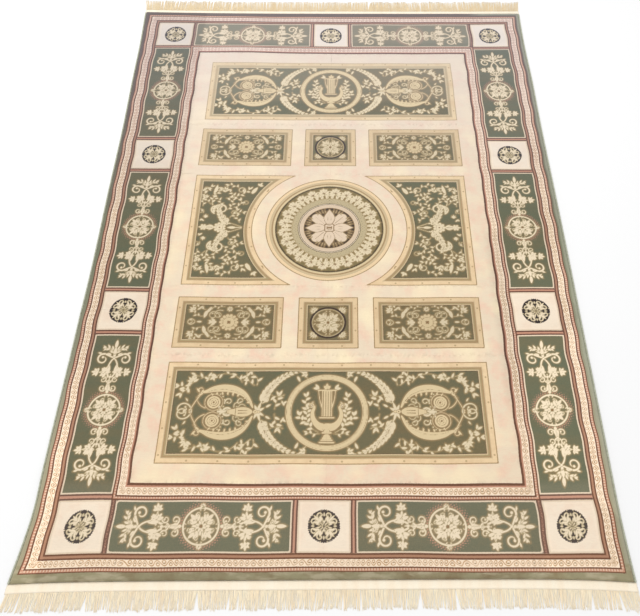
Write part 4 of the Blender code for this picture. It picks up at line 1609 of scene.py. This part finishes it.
@dataclass(frozen=True)
class Pile:
    """The knotted pile, made as neighbouring slabs that share their cuts."""

    lie: Lie
    pitch: float = 2.75
    wide: float = 11.0
    plain: float = 12.0
    backing_pitch: float = 45.0
    under: float = 0.0022
    backing_top: float = 0.0019
    band_stripe: int = 8
    cell_rim: float = 4.2
    cuts: Table = (236.0, 486.0, FIELD_END)
    rim_steps: Table = (6.0, 3.6, 1.8, 0.7, 0.0)

    def outwards(self, stripes: Table, rim: list[float]) -> Array:
        """Grid places from the field outwards: a border's stripes, then the steps of the rim."""
        keys = stripes[1:-1]
        pitches = [self.wide] * (len(keys) - 1)
        pitches[self.band_stripe - 1] = self.pitch
        return np.concatenate([stations(keys, pitches), stations([keys[-1], rim[0]], 6.0)[1:], rim[1:]])

    def end_rows(self, sign: int) -> Array:
        """Grid places along an end border, from the field outwards.

        Args:
            sign: -1 for the front and 1 for the back.

        Returns:
            Places along the pattern, in rising order.
        """
        edge = CLOTH_BACK if sign > 0 else CLOTH_FRONT
        rim = [abs(float(self.lie.to_pattern(np.array(edge - sign * step * MM)))) for step in self.rim_steps]
        return signed(self.outwards(STRIPE_ENDS, rim), sign)

    def framed(self, low: float, high: float, panel: Place) -> Array:
        """Grid places along the field from one cut to another, coarse outside the panel."""
        return stations([low, *panel, high], [self.plain, self.pitch, self.plain])

    def slabs(self) -> list[Slab]:
        """Work out every slab.

        Returns:
            The slabs.
        """
        rim = self.cell_rim
        rows = stations(sorted({k for low, high in SIDE_CELLS for k in (low, low + rim, high - rim, high)
                                if k > 0} | {0.0, FIELD_END}), self.pitch)
        cut = float(rows[np.argmin(np.abs(rows - sum(SIDE_CELLS[1]) / 2))])
        left, right = (self.outwards(STRIPE_SIDES, [reach / MM - step for step in self.rim_steps])
                       for reach in (-CLOTH_LEFT, CLOTH_RIGHT))
        fronts, backs = self.end_rows(-1), self.end_rows(1)
        ends = (("front", -1, fronts), ("back", 1, backs))
        sides = (("left", -1, left), ("right", 1, right))
        end_span = stations([0.0, END_CELLS[0][1] - rim, END_CELLS[0][1], END_CELLS[1][0],
                             END_CELLS[1][0] + rim, FIELD_SIDE], self.pitch)
        field_span = stations([0.0, PANEL_SIDE, FIELD_SIDE], [self.pitch, self.plain])
        first, second, last = self.cuts
        small, big = self.framed(first, second, SMALL_PANEL), self.framed(second, last, BIG_PANEL)
        middle = stations([-first, -CENTRE_REACH, CENTRE_REACH, first], self.pitch)
        made = []
        for side, turn, across in sides:
            for end, sign, places in ends:
                joined = np.concatenate([rows[rows >= cut], np.sort(np.abs(places))[1:]])
                made += [(f"pile_{side}_{end}_inner", signed(across, turn), signed(rows[rows <= cut], sign)),
                         (f"pile_{side}_{end}_outer", signed(across, turn), signed(joined, sign))]
        made += [(f"pile_{end}_{side}", signed(end_span, turn), places)
                 for end, _, places in ends for side, turn, _ in sides]
        made += [(f"pile_{size}_{end}_{side}", signed(field_span, turn), signed(places, sign))
                 for end, sign, _ in ends for side, turn, _ in sides
                 for size, places in (("small", small), ("big", big))]
        made += [(f"pile_centre_{side}", signed(field_span, turn), middle) for side, turn, _ in sides]
        return [Slab(self.lie, name, hemmed(across), hemmed(along), self.under, CLOTH_THICKNESS)
                for name, across, along in made]

    def backing_grid(self, low: float, stripes: Table, high: float) -> Array:
        """Grid places of the backing from edge to edge, through the stripes of both halves."""
        return stations([low, *(-s for s in stripes[-2:0:-1]), *stripes[1:-1], high], self.backing_pitch)

    def make(self) -> list[Piece]:
        """Make the backing and every slab of the pile.

        Returns:
            The pieces, the backing first.
        """
        material = PileWool().material()
        drawing = Ornament().whole()
        LOG.info("ornament: %d strokes", len(drawing.strokes))
        chance = np.random.default_rng(7)
        pieces = [slab.make(drawing, material, chance) for slab in self.slabs()]
        front, back = (float(self.lie.to_pattern(np.array(edge))) for edge in (CLOTH_FRONT, CLOTH_BACK))
        across = self.backing_grid(CLOTH_LEFT / MM, STRIPE_SIDES, CLOTH_RIGHT / MM)
        backing = Slab(self.lie, "backing", across, self.backing_grid(front, STRIPE_ENDS, back), under=0.0,
                       top=self.backing_top, tuft=0.0, shoulder=1.0, drop=0.0)
        sheet = backing.make(Drawing(), material, chance)
        return [declare(piece, "pile_cloth") for piece in (sheet, *pieces)]


def ring_turns(sides: int) -> Array:
    """Angles of a ring's points, with the first half a step past the start."""
    return (np.arange(sides) + 0.5) * 2 * math.pi / sides


@dataclass(frozen=True)
class Binding:
    """One overcast edge: a bead with a wrap of yarn every few millimetres."""

    lie: Lie
    name: str
    edge: float
    outward: float
    width: float = 0.006
    height: float = 0.006
    clearance: float = 0.0005
    wrap: float = 0.0080
    sections: int = 1100
    sides: int = 8
    swell: float = 0.10

    def make(self) -> Piece:
        """Make the bead as rings of points carried along the edge.

        Returns:
            The piece.
        """
        along = np.linspace(CLOTH_FRONT, CLOTH_BACK, self.sections)[:, None]
        turns = ring_turns(self.sides)
        size = 1.0 - self.swell * (1.0 - np.abs(np.sin(along * math.pi / self.wrap)) ** 0.5)
        side = np.sin(turns)[None, :] * self.width / 2 * size
        middle = self.edge + self.outward * (self.clearance + self.width / 2)
        height = self.height / 2 * (1 + np.cos(turns)[None, :] * size)
        x, y, _ = self.lie.plan(middle + side * self.outward, along)
        lift = self.lie.plan(self.edge, along)[2]
        draft = MeshDraft()
        draft.add_points(self.lie.centred_rows(x, y, lift + height))
        add_tube_faces(draft, 1, self.sections, self.sides, self.outward > 0)
        piece = draft.build(self.name, BINDING_WOOL.material())
        return declare(piece, self.name.replace("_wraps", ""))


def add_tube_faces(draft: MeshDraft, tubes: int, rings: int, sides: int, reverse: bool) -> None:
    """Add the walls and caps of equal tubes whose points follow tube, ring and side.

    Args:
        draft: The mesh, which already holds the points from number 0.
        tubes: Number of tubes.
        rings: Rings of a tube.
        sides: Points of a ring.
        reverse: Whether the rings turn the other way.
    """
    tube = np.arange(tubes)[:, None, None] * rings * sides
    level = np.arange(rings - 1)[None, :, None] * sides
    side = np.arange(sides)[None, None, :]
    after = (side + 1) % sides
    quads = np.stack([tube + level + side, tube + level + after, tube + level + sides + after,
                      tube + level + sides + side], axis=-1).reshape(-1, 4)
    low = (tube[:, :, 0] + np.arange(sides)[::-1]).reshape(-1, sides)
    high = (tube[:, :, 0] + (rings - 1) * sides + np.arange(sides)).reshape(-1, sides)
    u = (np.arange(rings)[None, :, None] / (rings - 1)) * 0.98 + 0.01
    v = (np.arange(tubes)[:, None, None] + (side + 0.5) / (sides + 1)) / tubes
    spots = np.stack(np.broadcast_arrays(u, v), axis=-1).reshape(-1, 2)
    for faces, flat in ((quads, False), (low, True), (high, True)):
        faces = faces[:, ::-1] if reverse else faces
        draft.add_faces(faces, flat, spots[faces])


@dataclass(frozen=True)
class EndFringe:
    """One fringed end: a flat-woven strip and the warp ends that leave it in small locks."""

    lie: Lie
    end: str
    edge: float
    outward: float
    strip_width: float
    lock_length: float
    seed: int
    partings: tuple[Place, ...]
    warp: SpunYarn
    strip: SpunYarn = STRIP_COTTON
    locks: int = 140
    lock_share: float = 0.70
    strip_thickness: float = 0.002
    overlap: float = 0.0012
    binding: float = 0.006
    clearance: float = 0.0005
    flare: float = 0.16
    flare_power: int = 10
    lean_spread: float = 0.014
    lean_bend: float = 0.3
    sways: tuple[Place, ...] = ((0.050, 7.1), (0.035, 23.0))
    threads: int = 7
    rings: int = 7
    sides: int = 4
    radius: float = 0.00098
    parting_reach: float = 0.017
    flatness: float = 0.4

    def lay_out(self) -> tuple[Array, ...]:
        """Work out where each lock leaves the strip, its half width, its lean and its length.

        Returns:
            Middle X, middle Y, half width, lean and length of every lock.
        """
        chance = np.random.default_rng(self.seed)
        left, right = CLOTH_LEFT - self.binding, CLOTH_RIGHT + self.binding
        cells = np.empty(2 * self.locks + 1)
        cells[0::2] = (1 - self.lock_share) * (1 + 0.25 * chance.uniform(-1, 1, self.locks + 1))
        cells[1::2] = self.lock_share * (1 + 0.15 * chance.uniform(-1, 1, self.locks))
        cuts = left + (right - left) * np.concatenate([[0.0], np.cumsum(cells)]) / cells.sum()
        x, y, _ = self.lie.plan(cuts, self.edge + self.outward * (self.clearance + self.strip_width))
        middle_x, middle_y = (x[1:-1:2] + x[2::2]) / 2, (y[1:-1:2] + y[2::2]) / 2
        share = middle_x / CLOTH_RIGHT
        wander = chance.normal(0.0, self.lean_spread, self.locks)
        lean = self.flare * np.clip(np.abs(share), 0, 1) ** self.flare_power * np.sign(share) + wander
        for order, (amount, turns) in enumerate(self.sways, start=1):
            lean = lean + amount * np.sin(turns * share + order * self.outward)
        length = self.lock_length * (1 - 0.06 * chance.uniform(0, 2, self.locks))
        return middle_x, middle_y, (x[2::2] - x[1:-1:2]) / 2, lean, length

    def threads_piece(self) -> Piece:
        """Make the warp ends as thin bent tubes, a few to each lock.

        Returns:
            The piece.
        """
        chance = np.random.default_rng(self.seed + 100)
        each_thread = (self.locks, self.threads, 1)
        x, y, half, lean, length = (v[:, None, None] for v in self.lay_out())
        along = np.linspace(-0.06, 1.0, self.rings)[None, None, :]
        out = np.clip(along, 0, 1)
        seat = (np.linspace(-1.22, 1.22, self.threads)[None, :, None]
                + chance.uniform(-0.12, 0.12, each_thread))
        gather = 1.0 - out * chance.uniform(-0.05, 0.4, (self.locks, 1, 1))
        away = np.zeros_like(x)
        for place, wide in self.partings:
            away = away + wide * MM * np.sign(x - place) * np.exp(-np.abs(x - place) / self.parting_reach)
        stray = chance.normal(0.0, 0.0016, each_thread) * out**2
        wave = 0.00035 * np.sin(along * chance.uniform(5, 11, each_thread)
                                + chance.uniform(0, 6.28, each_thread))
        reach = length * (1.0 - chance.uniform(0.0, 0.10, each_thread)) * along
        centre_x = (x + half * seat * gather + lean * reach * (1 - self.lean_bend + self.lean_bend * along)
                    + away * out**1.3 + stray + wave * np.clip(along * 3, 0, 1))
        centre_y = y + self.outward * reach
        centre_z = self.radius * self.flatness + (
            self.strip_thickness * 0.3 + chance.uniform(0, 0.0006, each_thread)) * (1 - 0.75 * out)
        thick = self.radius * (1.05 - 0.35 * out**3)
        turns = ring_turns(self.sides)
        spread_x = np.cos(turns) * thick[..., None]
        spread_z = np.sin(turns) * np.minimum(thick, self.radius * 0.98)[..., None] * self.flatness
        draft = MeshDraft()
        draft.add_points(self.lie.centred_rows(centre_x[..., None] + spread_x, centre_y[..., None],
                                               np.maximum(centre_z[..., None] + spread_z, 0.00002)))
        add_tube_faces(draft, self.locks * self.threads, self.rings, self.sides, self.outward < 0)
        return declare(draft.build(f"warp_ends_{self.end}", self.warp.material()),
                       f"fringe_{self.end}")

    def strip_piece(self) -> Piece:
        """Make the flat-woven strip as a thin closed slab with a fine upper side.

        Returns:
            The piece.
        """
        across = np.linspace(CLOTH_LEFT - self.binding, CLOTH_RIGHT + self.binding, 400)
        inner = self.edge + self.outward * self.clearance
        along = np.sort(inner + self.outward * np.linspace(0.0, 1.0, 6) * (self.strip_width + self.overlap))
        grid_x, grid_y = np.meshgrid(across, along)
        x, y, _ = self.lie.plan(grid_x, grid_y)
        chance = np.random.default_rng(self.seed + 200)
        level = self.strip_thickness + chance.uniform(-0.00012, 0.0001, x.shape)
        draft = MeshDraft()
        top, low = (draft.add_points(self.lie.centred_rows(x, y, height)) for height in (level, 0.0))
        quads = grid_quads(*x.shape)
        spots = np.stack([(grid_x - across[0]) / (across[-1] - across[0]) * 0.99 + 0.005,
                          (grid_y - along[0]) / (along[-1] - along[0]) * 0.4 + 0.02], axis=-1).reshape(-1, 2)
        draft.add_faces(quads + top, False, spots[quads])
        draft.add_faces(quads[:, ::-1] + low, True, spots[quads[:, ::-1]] + np.array([0.0, 0.5]))
        ids = np.arange(x.size).reshape(x.shape)
        rim = np.concatenate([ids[0, :-1], ids[:-1, -1], ids[-1, :0:-1], ids[:0:-1, 0]])
        after = np.roll(rim, -1)
        walls = np.stack([rim + low, after + low, after + top, rim + top], axis=-1)
        u, v = np.broadcast_arrays((np.arange(len(rim)) / len(rim))[:, None], [0.96, 0.96, 0.99, 0.99])
        draft.add_faces(walls, True, np.stack([u, v], axis=-1))
        return declare(draft.build(f"end_strip_{self.end}", self.strip.material()),
                       f"fringe_{self.end}")


@dataclass(frozen=True)
class Studio:
    """The white floor, the light and the camera."""

    floor_half: float = 6.0
    floor_drop: float = 0.0004
    lens: float = 36.96
    sensor: float = 36.0
    shift: float = -0.0483
    eye: Table = (0.0550, -1.3810, 1.798)
    pitch: float = 59.51
    yaw: float = 0.97
    roll: float = 0.71
    sky: float = 0.85
    lamp_power: float = 60.0
    lamp_size: float = 3.0
    lamp_place: Table = (-1.2, 1.6, 3.4)
    lamp_tilt: Place = (-25.0, -18.0)

    def floor(self) -> None:
        """Lay the floor just under the rug."""
        draft = MeshDraft()
        corners = np.array([(-1.0, -1.0), (1.0, -1.0), (1.0, 1.0), (-1.0, 1.0)]) * self.floor_half
        draft.add_points(np.column_stack([corners, np.full(4, -self.floor_drop)]))
        draft.add_faces(np.array([[0, 1, 2, 3]]), True, np.zeros((4, 2)))
        draft.build("floor", FloorPaint().material())

    def light(self) -> None:
        """Set an even white sky and one large soft lamp."""
        world = bpy.data.worlds.new("studio")
        bpy.context.scene.world = world
        world.use_nodes = True
        shade = world.node_tree.nodes["Background"]
        shade.inputs["Color"].default_value = (1.0, 1.0, 1.0, 1.0)
        shade.inputs["Strength"].default_value = self.sky
        lamp = bpy.data.lights.new("lamp", "AREA")
        lamp.energy, lamp.size = self.lamp_power, self.lamp_size
        holder = put("lamp", lamp)
        holder.location = self.lamp_place
        holder.rotation_euler = (*(math.radians(v) for v in self.lamp_tilt), 0.0)

    def camera(self, step: Table) -> None:
        """Set the camera before and above the rug's front end.

        Args:
            step: The lie's centring step.
        """
        p, w, r = (math.radians(v) for v in (self.pitch, self.yaw, self.roll))
        forward = np.array([math.sin(w) * math.cos(p), math.cos(w) * math.cos(p), -math.sin(p)])
        right = np.array([math.cos(w), -math.sin(w), 0.0])
        up = np.cross(right, forward)
        matrix = np.eye(4)
        matrix[:3, 0] = math.cos(r) * right + math.sin(r) * up
        matrix[:3, 1] = -math.sin(r) * right + math.cos(r) * up
        matrix[:3, 2] = -forward
        matrix[:3, 3] = np.add(self.eye, step)
        data = bpy.data.cameras.new("camera")
        data.lens, data.sensor_width, data.shift_x = self.lens, self.sensor, self.shift
        data.sensor_fit = "HORIZONTAL"
        camera = put("camera", data)
        camera.matrix_world = [tuple(row) for row in matrix.T]
        bpy.context.scene.camera = camera

    def set_up(self, step: Table) -> None:
        """Make the floor, the light and the camera.

        Args:
            step: The lie's centring step.
        """
        self.floor()
        self.light()
        self.camera(step)
        bpy.context.scene.view_settings.view_transform = "Standard"


def main() -> None:
    """Build the looks of the rug."""
    lie = Lie().centred()
    LOG.info("centring step %s", lie.step)
    sheet, *pieces = Pile(lie).make()
    pieces += [Binding(lie, "binding_left_wraps", CLOTH_LEFT, -1.0).make(),
               Binding(lie, "binding_right_wraps", CLOTH_RIGHT, 1.0).make()]
    front_partings = ((-0.599, 5.0), (-0.323, 9.0), (-0.236, 5.0), (-0.214, 5.0), (0.047, 4.5), (0.240, 9.0),
                      (0.333, 6.0), (0.675, 6.0), (0.745, 5.0))
    back_partings = ((-0.44, 5.0), (0.16, 6.0), (0.55, 5.0))
    for end in (EndFringe(lie, "front", CLOTH_FRONT, -1.0, 0.022, 0.051, 41, front_partings, WARP_FRONT),
                EndFringe(lie, "back", CLOTH_BACK, 1.0, 0.020, 0.074, 42, back_partings, WARP_BACK)):
        pieces += [end.strip_piece(), end.threads_piece()]
    Studio().set_up(lie.step)


if __name__ == "__main__":
    main()
